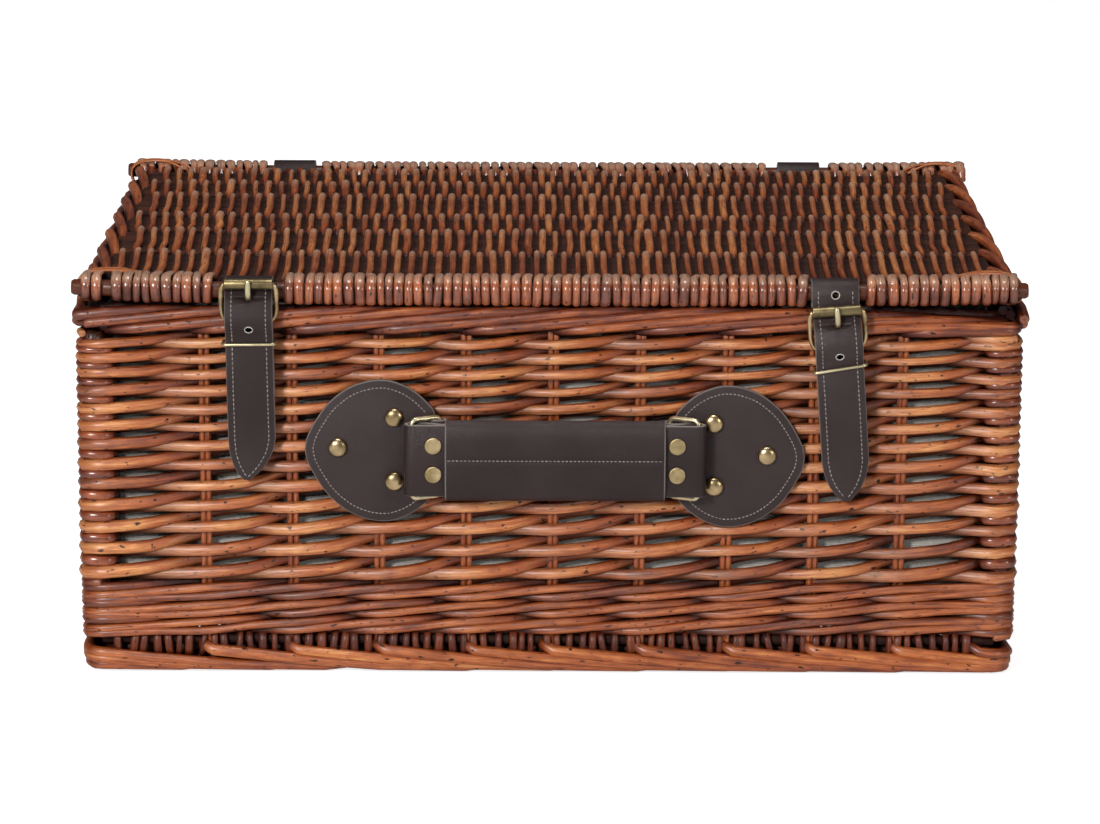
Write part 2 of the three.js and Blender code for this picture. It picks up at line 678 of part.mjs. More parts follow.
// Handle patches with the loop that holds the ring, and their rivets
const patchFace = wallFront - gap - patchThickness;
for (const [side, name] of [[-1, 'left'], [1, 'right']]) {
  const at = (out) => handleCentreX + side * out;
  const half = patchLoopHeight / 2;
  const edge = patchWireOffset + patchInnerEdge;
  const upper = [
    [edge, half], [edge, half + 2.5], ...patchOutline.map(([out, up]) => [patchWireOffset + out, up]),
  ];
  const points = [
    ...upper.map(([out, up]) => [at(out), handleCentreZ + up]),
    [at(patchWireOffset + patchTip), handleCentreZ],
    ...upper.map(([out, up]) => [at(out), handleCentreZ - up]).reverse(),
  ];
  const ordered = side < 0 ? points : points.reverse();
  const plate = frontProfile(ordered, patchThickness, patchFace);
  const neckEnds = [at(patchWireOffset), at(patchWireOffset + 7.2)].sort((a, b) => a - b);
  const neck = box(
    [neckEnds[0], patchFace, handleCentreZ - half], [neckEnds[1], wallFront - gap, handleCentreZ + half]);
  const barrel = rod(patchLoopRadius, patchLoopHeight, 'z', [at(patchWireOffset), patchWireY, handleCentreZ]);
  const bore = rod(ringWire + gap, 80, 'z', [at(patchWireOffset), patchWireY, handleCentreZ]);
  const holes = domeOffsets.map(
    ([out, up]) => rod(shankRadius + gap, 30, 'y', [at(out), wallFront, handleCentreZ + up], 16));
  add(bodyGroup, `handle_patch_${name}`, cut(join(plate, neck, barrel), bore, ...holes), leather(0x3e3230));

  const domeNames = ['high', 'low', 'outer'];
  domeOffsets.forEach(([out, up], k) => {
    const shankLength = patchThickness + gap + wallThickness - 1;
    add(bodyGroup, `patch_rivet_${name}_${domeNames[k]}`,
      rivet(at(out), handleCentreZ + up, patchFace, -1, domeRivetDiameter, domeRivetHeight, shankRadius,
        shankLength),
      brass(0xa58f5a));
  });

  const ring = wireLoop(ringSpan, ringOuterHeight - ringWireDiameter, 2.4, ringWire);
  ring.translate(side * ringSpan / 2, 0, 0).rotateZ(-side * ringAngle);
  add(handleGroup, `ring_${name}`, ring.translate(at(patchWireOffset), patchWireY, handleCentreZ),
    brass(0xb39d68));
}

// Handle: padded grip with a folded end piece on each side
const tongueThickness = 3;
const tongueHeight = 30;
const gripMidY = endBackY - gripThickness / 2;
const gripSection = roundedRectangle(gripThickness, gripHeight, 4.2, 4).map(
  ([y, z]) => [gripMidY + y, handleCentreZ + z]);
const pockets = [-1, 1].map((side) => {
  const ends = [side * (gripEnd + 1), side * (gripEnd - endTongueLength - gap * 2)].sort((a, b) => a - b);
  return box(
    [handleCentreX + ends[0], handleMidY - tongueThickness / 2 - gap, handleCentreZ - tongueHeight / 2 - gap],
    [handleCentreX + ends[1], handleMidY + tongueThickness / 2 + gap, handleCentreZ + tongueHeight / 2 + gap]);
});
add(handleGroup, 'handle_grip', cut(sideProfile(gripSection, gripLength, handleCentreX), ...pockets),
  leather(0x453a3a));

const slotHalf = ringWire + slideGap;
const foldHalf = slotHalf + foldThickness;
for (const [side, name] of [[-1, 'left'], [1, 'right']]) {
  const at = (out) => handleCentreX + side * out;
  const foldCentre = endSlotOuter - slotHalf;
  const arc = (radius, centre) => [-90, -60, -30, 0, 30, 60, 90].map((degrees) => {
    const angle = THREE.MathUtils.degToRad(degrees);
    return [centre + radius * Math.cos(angle), radius * Math.sin(angle)];
  });
  const body = [
    [gripEnd + gap, -foldHalf],
    ...arc(foldHalf, foldCentre),
    [endSlotInner - 0.5, foldHalf], [endSlotInner - 4, endThickness / 2], [gripEnd + gap, endThickness / 2],
  ];
  const slot = [[endSlotInner, -slotHalf], ...arc(slotHalf, foldCentre), [endSlotInner, slotHalf]];
  const place = (points) => {
    const placed = points.map(([out, y]) => [at(out), handleMidY + y]);
    return side < 0 ? placed.reverse() : placed;
  };
  const low = handleCentreZ - endHeight / 2;
  const tongueEnds = [at(gripEnd - endTongueLength), at(gripEnd + gap + 1)].sort((a, b) => a - b);
  const tongue = box(
    [tongueEnds[0], handleMidY - tongueThickness / 2, handleCentreZ - tongueHeight / 2],
    [tongueEnds[1], handleMidY + tongueThickness / 2, handleCentreZ + tongueHeight / 2]);
  const rivetHeights = [handleCentreZ + flatRivetSpacing / 2, handleCentreZ - flatRivetSpacing / 2];
  const holes = rivetHeights.map((z) => rod(1.5 + gap, 30, 'y', [at(flatRivetOffset), handleMidY, z], 12));
  add(handleGroup, `handle_end_${name}`,
    cut(join(plan(place(body), endHeight, low, [place(slot)]), tongue), ...holes), leather(0x453a3a));
  rivetHeights.forEach((z, k) => {
    add(handleGroup, `end_rivet_${name}_${k === 0 ? 'high' : 'low'}`,
      rivet(at(flatRivetOffset), z, handleMidY - foldHalf, -1, flatRivetDiameter, flatRivetHeight, 1.5,
        foldHalf + endThickness / 2),
      brass(0xb8a878));
  });
}

// Places that the moving joints turn about
for (const i of [0, 1]) {
  const [x, z] = hangPlace(i, heelHeight[i]);
  const top = new THREE.Vector3(0, -frameTiltReach, frameLength * Math.cos(frameTilt));
  const middle = hangPlace(i, heelHeight[i] + top.z);
  console.log(sides[i], 'heel', x.toFixed(3), (heelY + depthShift).toFixed(3), z.toFixed(3),
    'roller', middle[0].toFixed(3), (heelY + top.y + depthShift).toFixed(3), middle[1].toFixed(3),
    'turn axis', Math.cos(strapLean[i]).toFixed(5), Math.sin(strapLean[i]).toFixed(5));
}
console.log('ring axes', (handleCentreX - patchWireOffset).toFixed(3), (handleCentreX + patchWireOffset).toFixed(3),
  (patchWireY + depthShift).toFixed(3));

export default basket;
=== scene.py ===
# %% [markdown]
# # A wicker picnic basket
# The basket is woven from varnished willow rods, lined with pale cloth, and closed with two leather straps.
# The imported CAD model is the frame: every piece made here sits where its CAD node sits and rides on that
# body. Woven work can't be shaped from a box, so the rods are swept tubes that follow the path each real rod
# takes.

# %% Load the frame
import json
import math
import random

import bpy
import numpy as np
from mathutils import Matrix, Vector


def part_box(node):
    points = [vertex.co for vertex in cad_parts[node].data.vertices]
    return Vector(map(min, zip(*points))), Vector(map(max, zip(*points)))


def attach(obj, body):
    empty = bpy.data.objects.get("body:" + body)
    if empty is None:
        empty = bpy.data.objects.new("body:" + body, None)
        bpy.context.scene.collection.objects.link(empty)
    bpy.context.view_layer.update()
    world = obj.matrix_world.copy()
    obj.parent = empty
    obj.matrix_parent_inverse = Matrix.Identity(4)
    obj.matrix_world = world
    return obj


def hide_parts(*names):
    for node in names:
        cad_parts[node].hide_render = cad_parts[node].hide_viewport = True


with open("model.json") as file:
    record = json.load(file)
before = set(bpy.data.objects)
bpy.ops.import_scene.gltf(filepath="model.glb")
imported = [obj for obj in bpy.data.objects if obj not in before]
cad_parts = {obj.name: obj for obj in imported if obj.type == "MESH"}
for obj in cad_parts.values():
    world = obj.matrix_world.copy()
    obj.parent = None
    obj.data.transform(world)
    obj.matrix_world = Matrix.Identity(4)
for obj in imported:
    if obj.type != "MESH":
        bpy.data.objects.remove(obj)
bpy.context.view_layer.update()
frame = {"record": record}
bpy.ops.object.select_all(action="DESELECT")
BODY_OF = {n: b for b, nodes in frame["record"]["behaviour"]["bodies"].items() for n in nodes}
MM = 0.001
MID_Y = (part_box("front_wall")[0].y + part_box("back_wall")[1].y) / 2 / MM
print("middle of the depth", round(MID_Y, 3), "mm")

# %% [markdown]
# ## Millimetres
# The basket is measured in millimetres from the middle of the ground under it: x to the right, y to the back,
# z up. These helpers turn such points into the frame's metres, and stand, pick up and settle a finished
# piece.

# %% Place, pick up and settle pieces
UP, FRONT = (0, 0, 1), (0, -1, 0)
SIDES = ("left", "right")


def metres(points):
    """Points in millimetres about the middle of the basket, in the metres of the frame."""
    return (np.asarray(points, float) + (0, MID_Y, 0)) * MM


def stand(name, data):
    """Puts a new object in the scene."""
    made = bpy.data.objects.new(name, data)
    bpy.context.scene.collection.objects.link(made)
    return made


def take_up(piece):
    """Picks up one piece alone, so that the next tool works on it."""
    bpy.ops.object.select_all(action="DESELECT")
    bpy.context.view_layer.objects.active = piece
    piece.select_set(True)


def settle(piece, slot, *nodes, body=None):
    """Stands for its CAD nodes and rides on their body."""
    body = body or BODY_OF[nodes[0]]
    if nodes:
        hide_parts(*nodes)
    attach(piece, body)
    print(f"{piece.name}: {len(piece.data.polygons)} faces on {body}")
    return piece


print("the basket has", len(set(BODY_OF.values())), "bodies that move or stand")

# %% [markdown]
# ## A short way to write finishes
# A finish is a net of small steps. This helper adds a step, sets its plain values and links the rest.
# The same helper writes the world and the floor.


# %% Write finishes
def srgb(*levels):
    """Levels of 0 to 255 as the linear colour that a finish works with."""
    return tuple(c / 255 / 12.92 if c < 10 else ((c / 255 + 0.055) / 1.055) ** 2.4 for c in levels) + (1,)


class Shader:
    """The net of steps of one material or world."""

    def __init__(self, owner, surface="Principled BSDF", **inputs):
        owner.use_nodes = True
        self.owner, self.tree = owner, owner.node_tree
        self.surface = self.tree.nodes[surface]
        self.fill(self.surface, inputs)

    def fill(self, node, inputs):
        """Inputs by name, with _ for a space, or by number after a _. Values are set and outputs linked."""
        for key, value in inputs.items():
            socket = node.inputs[int(key[1:]) if key[1:].isdigit() else key.replace("_", " ")]
            if isinstance(value, bpy.types.NodeSocket):
                self.tree.links.new(value, socket)
            else:
                socket.default_value = value

    def node(self, kind, settings=None, output=0, **inputs):
        made = self.tree.nodes.new("ShaderNode" + kind)
        for key, value in (settings or {}).items():
            setattr(made, key, value)
        self.fill(made, inputs)
        return made.outputs[output]

    def reckon(self, way, *values):
        return self.node("Math", {"operation": way}, **{f"_{i}": value for i, value in enumerate(values)})

    def attribute(self, name):
        return self.node("Attribute", {"attribute_name": name}, "Fac")

    def ray(self, kind):
        return self.node("LightPath", None, f"Is {kind} Ray")

    def noise(self, vector, scale, detail=3.0):
        return self.node("TexNoise", None, "Fac", Vector=vector, Scale=scale, Detail=detail)

    def stretched(self, vector, scale, detail=3.0):
        return self.noise(self.node("Mapping", Vector=vector, Scale=scale), 1.0, detail)

    def level(self, value, low, high, to_low=0.0, to_high=1.0):
        return self.node("MapRange", Value=value, From_Min=low, From_Max=high, To_Min=to_low, To_Max=to_high)

    def blend(self, share, first, second, way="MIX"):
        return self.node("Mix", {"data_type": "RGBA", "blend_type": way}, 2, _0=share, _6=first, _7=second)

    def ramp(self, value, *stops):
        made = self.node("ValToRGB", Fac=value)
        elements = made.node.color_ramp.elements
        while len(elements) < len(stops):
            elements.new(0.5)
        for element, (place, colour) in zip(elements, stops):
            element.position, element.color = place, colour
        return made

    def bump(self, height, distance, strength):
        return self.node("Bump", Height=height, Distance=distance, Strength=strength)

    def finish(self, **inputs):
        self.fill(self.surface, inputs)
        return self.owner


def material(name, roughness, **inputs):
    return Shader(bpy.data.materials.new(name), Roughness=roughness, **inputs)


print("finishes can be written")

# %% [markdown]
# ## Camera
# The camera stands where the photograph was taken from: two metres off, a little above the lid, with a long
# lens.

# %% Camera
IMAGE = (1100, 824)
SENSOR, FOCAL_PX, DISTANCE = 36, 4276.0, 2121.3
ELEVATION, YAW, ROLL = 0.2418, 0.0067, 0.0055
AIM = Vector((0.3, MID_Y - 150, 134.2))


def place_camera():
    level = Vector((math.cos(YAW), -math.sin(YAW), 0))
    flat = math.cos(ELEVATION)
    back = Vector((-math.sin(YAW) * flat, -math.cos(YAW) * flat, math.sin(ELEVATION)))
    right = math.cos(ROLL) * level + math.sin(ROLL) * back.cross(level)
    data = bpy.data.cameras.new("camera")
    data.sensor_width = SENSOR
    data.lens = FOCAL_PX / IMAGE[0] * SENSOR
    data.clip_start, data.clip_end = 0.05, 20
    camera = stand("camera", data)
    turn = Matrix((right, back.cross(right), back)).transposed().to_4x4()
    camera.matrix_world = Matrix.Translation((AIM + back * DISTANCE) * MM) @ turn
    bpy.context.scene.camera = camera
    return camera


print("lens", round(place_camera().data.lens, 1), "mm")

# %% [markdown]
# ## Light and floor
# Three large soft lamps and a faint pale world light the basket evenly. The floor is plain and pale, and
# keeps the shadow. The camera sees white behind the basket and a glow on the floor, and neither of them
# lights the basket.

# %% Lamps, world and floor
bpy.context.scene.view_settings.view_transform = "Standard"
MIDDLE = Vector((0, 0, 0.1))
WHITE, FLOOR_GREY = (1, 1, 1, 1), (0.86, 0.86, 0.86, 1)
FLOOR_RADIUS, BELOW_FOOT = 6, 0.0005


def soft_lamp(name, place, size, power):
    data = bpy.data.lights.new(name, "AREA")
    data.shape, data.size, data.energy = "DISK", size, power
    turn = (MIDDLE - Vector(place)).to_track_quat("-Z", "Y").to_matrix().to_4x4()
    stand(name, data).matrix_world = Matrix.Translation(place) @ turn


soft_lamp("key_lamp", (-1.0, -2.2, 1.2), 0.5, 46)
soft_lamp("fill_lamp", (1.7, -1.8, 0.8), 0.5, 12)
soft_lamp("top_lamp", (0.0, -0.3, 2.1), 0.7, 17)

world = bpy.data.worlds.new("studio")
bpy.context.scene.world = world
sky = Shader(world, "Background", Color=(0.95, 0.97, 1, 1), Strength=0.08)
white_sky = sky.node("Background", Color=WHITE, Strength=1)
seen = sky.reckon("MAXIMUM", sky.ray("Camera"), sky.ray("Transmission"))
sky.fill(sky.tree.nodes["World Output"],
         {"Surface": sky.node("MixShader", _0=seen, _1=sky.surface.outputs[0], _2=white_sky)})

bpy.ops.mesh.primitive_circle_add(vertices=64, radius=FLOOR_RADIUS, fill_type="NGON",
                                  location=(0, 0, -BELOW_FOOT))
floor = bpy.context.object
floor.name = "floor"
paint = material("pale_floor", 0.9, Base_Color=FLOOR_GREY, Specular_IOR_Level=0.1)
plain = paint.surface.outputs[0]
glowing = paint.node("AddShader", _0=plain, _1=paint.node("Emission", Strength=0.82))
paint.fill(paint.tree.nodes["Material Output"],
           {"Surface": paint.node("MixShader", _0=paint.ray("Camera"), _1=plain, _2=glowing)})
floor.data.materials.append(paint.owner)
print("three lamps, a world and a floor")

# %% [markdown]
# ## Varnished willow
# Willow is stained red brown and varnished. Each rod took the stain differently, so every rod carries its own
# tint, and streaks run along it. The gaps of the weave are painted darker as painted shade. Cut ends show the
# pale wood, and pale patches painted along the rods are painted highlights. All this comes from marks on the
# rods themselves, so that the pattern follows each rod.

# %% Willow
STREAKS, BLOTCHES, FINE, MARKS = (12.0, 4.0, 1.0), (3.0, 8.0, 1.0), (42.0, 13.0, 1.0), (8.0, 20.0, 1.0)
# How much darker the willow is painted the deeper it lies in the weave: painted shade.
GAP_SHADE = ((0.15, (1.0, 1.0, 1.0, 1.0)), (0.45, (0.72, 0.6, 0.53, 1.0)),
              (0.75, (0.36, 0.24, 0.17, 1.0)), (1.0, (0.14, 0.075, 0.05, 1.0)))
KNOT, PORE = srgb(40, 17, 10), srgb(84, 38, 22)
# How far its tint moves the pattern on a rod, so that no two rods look alike.
OWN_PLACE = (37.0, 91.0, 0.0)


def willow(name, stops, pale, roughness=0.42, coat=0.5, coat_roughness=0.36):
    """stops: rows of place, red, green and blue, from the darkest rod to the palest."""
    s = material(name, roughness, Coat_Roughness=coat_roughness, Coat_IOR=1.75, Specular_IOR_Level=0.3)
    tint, depth = s.attribute("tint"), s.attribute("deep")
    own = s.node("CombineXYZ", X=tint, Y=tint, Z=tint)
    placed = s.node("VectorMath", {"operation": "MULTIPLY_ADD"}, _0=own, _1=OWN_PLACE, _2=s.node("UVMap"))
    streaks = s.stretched(placed, STREAKS, 5.0)
    blotches = s.stretched(placed, BLOTCHES)
    fine = s.stretched(placed, FINE)
    marked = s.level(s.stretched(placed, MARKS, 2.0), 0.64, 0.69)
    shade = s.reckon("ADD", tint, s.level(streaks, 0.3, 0.7, -0.32, 0.32))
    shade = s.reckon("ADD", shade, s.level(blotches, 0.3, 0.7, -0.2, 0.2))
    colour = s.ramp(shade, *((place, srgb(*levels)) for place, *levels in stops))
    colour = s.blend(marked, colour, KNOT)
    colour = s.blend(s.level(fine, 0.4, 0.72, 0.0, 0.5), colour, PORE)
    # Cut ends show pale wood; the pale marks along the rods are painted highlights.
    pale_marks = s.reckon("MULTIPLY", s.attribute("cut"), s.level(fine, 0.35, 0.65, 1.6, 0.45))
    colour = s.blend(pale_marks, colour, srgb(*pale))
    # Painted shade: the gaps of the weave are painted darker, and their coat is thinned so that they reflect
    # less.
    painted_shade = s.ramp(s.reckon("MULTIPLY_ADD", blotches, 0.3, depth), *GAP_SHADE)
    colour = s.blend(1.0, colour, painted_shade, "MULTIPLY")
    varnish = s.level(depth, 0.2, 0.8, coat, coat * 0.15)
    varnish = s.reckon("MULTIPLY", varnish, s.level(marked, 0.0, 1.0, 1.0, 0.1))
    height = s.reckon("MULTIPLY_ADD", streaks, 0.7, s.level(fine, 0.2, 0.8, 0.0, 0.45))
    return s.finish(Base_Color=colour, Coat_Weight=varnish, Normal=s.bump(height, 0.0008, 0.6),
                    Roughness=s.level(fine, 0.35, 0.65, roughness - 0.1, roughness + 0.14))


WILLOW = willow("varnished_willow", [(0.0, 108, 42, 13), (0.3, 164, 81, 31), (0.65, 202, 112, 50),
                                     (1.0, 234, 160, 92)], (232, 190, 156))
LID_WILLOW = willow("brown_willow", [(0.0, 118, 50, 22), (0.35, 172, 88, 42), (0.7, 206, 120, 62),
                                     (1.0, 232, 160, 98)], (226, 190, 162))
SHINY_WILLOW = willow("shiny_willow", [(0.0, 110, 45, 18), (0.35, 160, 78, 36), (0.7, 196, 108, 54),
                                       (1.0, 232, 156, 90)], (236, 200, 170), coat=0.7, coat_roughness=0.22)
# Willow painted nearly black and without varnish for sticks that lie under the weave: painted shade.
SHADED_WILLOW = willow("shaded_willow", [(0.0, 22, 10, 6), (0.5, 46, 21, 11), (1.0, 72, 36, 20)],
                     (150, 110, 80), roughness=0.75, coat=0.0)
print("four willows")

# %% [markdown]
# ## Leather, thread, brass and cotton
# The leather is a very dark brown, with a fine grain and lighter clouds that are partly faint scuffs and
# partly painted sheen, and pale where it is cut. The thread is waxed and grey. The rollers are of dull brass,
# and the prongs, keepers and rings of bright brass. The cotton is matt.


# %% Leather, thread, brass and cotton
def leather(name, base, scuffs_and_sheen, roughness):
    s = material(name, roughness, Specular_IOR_Level=0.3)
    place = s.node("TexCoord", None, "Object")
    grain = s.node("TexVoronoi", {"feature": "DISTANCE_TO_EDGE"}, "Distance", Vector=place, Scale=1500.0)
    clouds, fine = s.noise(place, 24.0, 2.0), s.noise(place, 900.0, 2.0)
    # The lighter clouds are partly scuffs and partly a painted soft sheen.
    colour = s.blend(s.level(clouds, 0.35, 0.7, 0.0, 0.75), base, scuffs_and_sheen)
    colour = s.blend(s.attribute("cut"), colour, srgb(144, 135, 131))
    height = s.reckon("ADD", s.level(grain, 0.0, 0.25), fine)
    return s.finish(Base_Color=colour, Normal=s.bump(height, 0.00012, 0.45),
                    Roughness=s.level(clouds, 0.3, 0.7, roughness + 0.1, roughness - 0.09))


def thread(name, low, high):
    s = material(name, 0.6)
    twist = s.noise(s.node("TexCoord", None, "Object"), 1400.0, 1.0)
    return s.finish(Base_Color=s.ramp(twist, (0.3, low), (0.7, high)), Normal=s.bump(twist, 0.0001, 0.6))


def brass(name, low, high, roughness):
    s = material(name, roughness, Metallic=1.0)
    place = s.node("TexCoord", None, "Object")
    patina, scratches = s.noise(place, 110.0), s.stretched(place, (300.0, 300.0, 2200.0), 2.0)
    colour = s.ramp(patina, (0.3, low), (0.62, high))
    return s.finish(Base_Color=colour, Normal=s.bump(scratches, 0.00002, 0.12),
                    Roughness=s.level(patina, 0.3, 0.7, roughness + 0.06, roughness - 0.02))


def cotton():
    s = material("pale_cotton", 0.95, Specular_IOR_Level=0.2, Sheen_Weight=0.2)
    place = s.node("TexCoord", None, "Object")
    across, deep, upright = (s.node("TexWave", {"bands_direction": way, "wave_type": "BANDS"}, "Fac",
                                    Vector=place, Scale=260.0) for way in ("X", "Y", "Z"))
    weave = s.reckon("ADD", s.reckon("ADD", across, deep), upright)
    colour = s.ramp(s.noise(place, 420.0), (0.3, srgb(176, 169, 161)), (0.7, srgb(194, 188, 180)))
    return s.finish(Base_Color=colour, Normal=s.bump(weave, 0.0002, 0.5))


LEATHER = leather("dark_leather", srgb(42, 30, 29), srgb(60, 48, 48), 0.44)
GRIP_LEATHER = leather("grip_leather", srgb(38, 26, 25), srgb(54, 41, 40), 0.42)
THREAD = thread("waxed_thread", srgb(98, 91, 88), srgb(158, 150, 144))
RAW_EDGE = thread("raw_edge", srgb(140, 134, 130), srgb(206, 200, 196))
BRASS = brass("antique_brass", srgb(124, 104, 70), srgb(200, 176, 134), 0.3)
BRUSHED_BRASS = brass("brushed_brass", srgb(150, 130, 90), srgb(212, 190, 146), 0.4)
ROLLER_BRASS = brass("roller_brass", srgb(92, 80, 56), srgb(146, 130, 94), 0.4)
BRIGHT_BRASS = brass("polished_brass", srgb(176, 160, 116), srgb(226, 214, 176), 0.36)
COTTON = cotton()
print("leather, thread, brass and cotton")

# %% [markdown]
# ## Swept rods
# A basket is hundreds of rods, each bent along its own path, thick at the butt and thin at the tip.
# A bundle sweeps a ring of points along each path and keeps the rods as one mesh. Along the path the ring can
# change size, and it can be flatter than it is wide. Every rod gets a tint, and its cut ends are marked.


# %% Paths
def through(control, step=6.0, closed=False):
    """A smooth line of samples through control rows of any numbers: x, y, z and what goes with them."""
    p = np.asarray(control, float)
    n = len(p)
    rows = []
    for i in range(n if closed else n - 1):
        pick = [(i + k) % n if closed else min(max(i + k, 0), n - 1) for k in (-1, 0, 1, 2)]
        a, b, c, d = p[pick]
        count = max(1, round(float(np.linalg.norm((c - b)[:3])) / step))
        for t in np.arange(count) / count:
            row = 2 * b + (c - a) * t + (2 * a - 5 * b + 4 * c - d) * t**2
            rows.append(0.5 * (row + (3 * b - a - 3 * c + d) * t**3))
    if not closed:
        rows.append(p[-1])
    return np.array(rows)


def unit(rows):
    """The same directions, each one long."""
    return rows / np.linalg.norm(rows, axis=-1, keepdims=True)


def level_rows(rows):
    """Directions along the ground, with a height of nothing."""
    return np.column_stack([rows, np.zeros(len(rows))])


def distances(line):
    """How far along the line each of its points lies."""
    return np.concatenate([[0], np.cumsum(np.linalg.norm(np.diff(line, axis=0), axis=1))])


def arc(degrees, radius):
    """Points of a circle about (0, 0)."""
    turn = np.radians(degrees)
    return radius * np.column_stack([np.cos(turn), np.sin(turn)])


def skin(n, sides, steps, closed=False):
    """Four-sided faces between n rings of points, and where their corners lie when the skin is laid flat."""
    steps = np.asarray(steps, float)
    spans = n if closed else n - 1
    i, j = np.divmod(np.arange(spans * sides), sides)
    beyond, beside = (i + 1) % n * sides, (j + 1) % sides
    faces = np.stack([i * sides + j, i * sides + beside, beyond + beside, beyond + j], 1)
    left, right, low, high = j / sides, (j + 1) / sides, steps[i], np.append(steps[1:], steps[-1] + 0.05)[i]
    return faces.tolist(), np.stack([left, low, right, low, right, high, left, high], 1).reshape(-1, 2)


print("half a circle of 10 mm is", round(distances(arc(range(0, 181, 5), 10.0))[-1], 1), "mm long")

# %% [markdown]
# ## Bundles
# On the real basket a run of weaving is many rods that hold each other. Here such a run is one bundle, so
# that it moves as one piece, while every rod in it keeps its own skin and its own ends.


# %% Bundles
class Bundle:
    """Rods and strips that become one piece. pale and spread say how light the rods are, and how unlike."""

    def __init__(self, seed=1, pale=0.2, spread=0.65):
        self.parts, self.faces, self.count = [], [], 0
        self.random, self.pale, self.spread = random.Random(seed), pale, spread

    def add(self, points, faces, uvs, tint, cut):
        self.faces += [[i + self.count for i in face] for face in faces]
        self.parts.append((points, uvs, np.full(len(points), tint), np.broadcast_to(cut, len(points))))
        self.count += len(points)

    def rod(self, line, radius, ref=UP, flat=(1, 1), sides=8, tint=None, closed=False, ends=1.0, pale_marks=0.0):
        """Sweeps a ring along the line. flat gives the ring's half sizes across and along ref, times the
        radius. ends says how pale the wood shows at the cut ends, and the last argument how far the rod is
        painted paler along its length as a painted highlight."""
        line = np.asarray(line, float)[:, :3]
        n = len(line)
        radius, pale_marks = (np.broadcast_to(np.asarray(values, float), (n,)) for values in (radius, pale_marks))
        ref = np.broadcast_to(np.asarray(ref, float), (n, 3))
        if closed:
            along = unit(np.roll(line, -1, 0) - np.roll(line, 1, 0))
        else:
            near, far = line[1] - line[0], line[-1] - line[-2]
            lead = min(0.35 * radius[0], 0.4 * np.linalg.norm(near))
            trail = min(0.35 * radius[-1], 0.4 * np.linalg.norm(far))
            line = np.vstack([line[0], line[0] + unit(near) * lead, line[1:-1],
                              line[-1] - unit(far) * trail, line[-1]])
            radius = np.concatenate([[radius[0] * 0.8], radius, [radius[-1] * 0.8]])
            ref = np.vstack([ref[:1], ref, ref[-1:]])
            pale_marks = np.concatenate([pale_marks[:1], pale_marks, pale_marks[-1:]])
            n += 2
            along = unit(np.gradient(line, axis=0))
        side = unit(np.cross(ref, along))
        normal = np.cross(along, side)
        circle = arc(np.arange(sides) * 360 / sides, 1.0)
        ring = circle[None, :, :1] * side[:, None] * flat[0] + circle[None, :, 1:] * normal[:, None] * flat[1]
        points = (line[:, None] + ring * radius[:, None, None]).reshape(-1, 3)
        if tint is None:
            tint = self.pale + self.spread * self.random.random()
        self.add(points, *skin(n, sides, distances(line) / 100, closed), tint, np.repeat(pale_marks, sides))
        if not closed:
            for start, order in ((0, -1), (n - 1, 1)):
                cap = points[start * sides:(start + 1) * sides]
                self.add(cap, [list(range(sides))[::order]], circle[::order] * 0.03, tint, ends)

    def solid(self, points, sides, cut, steps):
        """A skin over rings of points, one ring for each step, with flat ends."""
        faces, uvs = skin(len(steps), sides, steps)
        faces += [list(range(sides))[::-1], [len(points) - sides + j for j in range(sides)]]
        self.add(points, faces, np.vstack([uvs, np.zeros((2 * sides, 2))]), 0.5, cut)

    def make(self, name, finish, deep=None):
        """deep says how far down in the weave each point lies: 0 on the crests, 1 in the gaps. The willow
        finishes paint shade from it.
        """
        points, uvs, tints, cuts = (np.concatenate(column) for column in zip(*self.parts))
        depths = np.clip(deep(points), 0, 1) if deep else np.full(len(points), 0.1)
        mesh = bpy.data.meshes.new(name)
        mesh.from_pydata(metres(points).tolist(), [], self.faces)
        mesh.uv_layers.new(name="UVMap").data.foreach_set("uv", uvs.astype(np.float32).ravel())
        for key, values in (("tint", tints), ("cut", cuts), ("deep", depths)):
            mesh.attributes.new(key, "FLOAT", "POINT").data.foreach_set("value", values.astype(np.float32))
        mesh.shade_smooth()
        mesh.validate()
        mesh.materials.append(finish)
        return stand(name, mesh)


def single(name, finish, *rod, **looks):
    """A piece of one rod."""
    bundle = Bundle()
    bundle.rod(*rod, **looks)
    return bundle.make(name, finish)


def inside(half_x, half_y, full, low=-99.0):
    """For make: the depth behind the nearest face of a box, as a share of full."""
    def deep(p):
        gap = np.minimum(half_x - abs(p[:, 0]), half_y - abs(p[:, 1]))
        return np.minimum(gap, p[:, 2] - low) / full
    return deep


print("bundles ready")

# %% [markdown]
# ## The way round the wall
# The wall is woven round 34 uprights: a thick post at each corner, nine stakes on the front and back, six at
# each end. Seen from outside, a rod always travels to the right, so the stations run anticlockwise from the
# front left post.

# %% Stations
LINE_X, LINE_Y = 227.5, 151.0
POST_X, POST_Y = 225.5, 149.0
WALL_HALF = 5.75
FRONT_STAKES = [-170.8 + 43.2 * i for i in range(9)]
SIDE_STAKES = [-POST_Y + 42.6 * (i + 1) for i in range(6)]
# For each wall the way out of it and the way along it: front, right, back and left.
WALLS = [(np.array([x, y], float), np.array([-y, x], float)) for x, y in ((0, -1), (1, 0), (0, 1), (-1, 0))]


def make_stations():
    made = []
    stakes = (FRONT_STAKES, SIDE_STAKES, [-x for x in reversed(FRONT_STAKES)], SIDE_STAKES)
    for k, (out, way) in enumerate(WALLS):
        before = WALLS[k - 1][0]
        made.append({"kind": "post", "at": (out + before) * (POST_X, POST_Y), "out": before, "next_out": out})
        reach = (LINE_Y, LINE_X)[k % 2]
        for place in stakes[k]:
            made.append({"kind": "stake", "at": out * reach + way * place, "out": out, "way": way})
    return made


STATIONS = make_stations()
print(len(STATIONS), "stations")

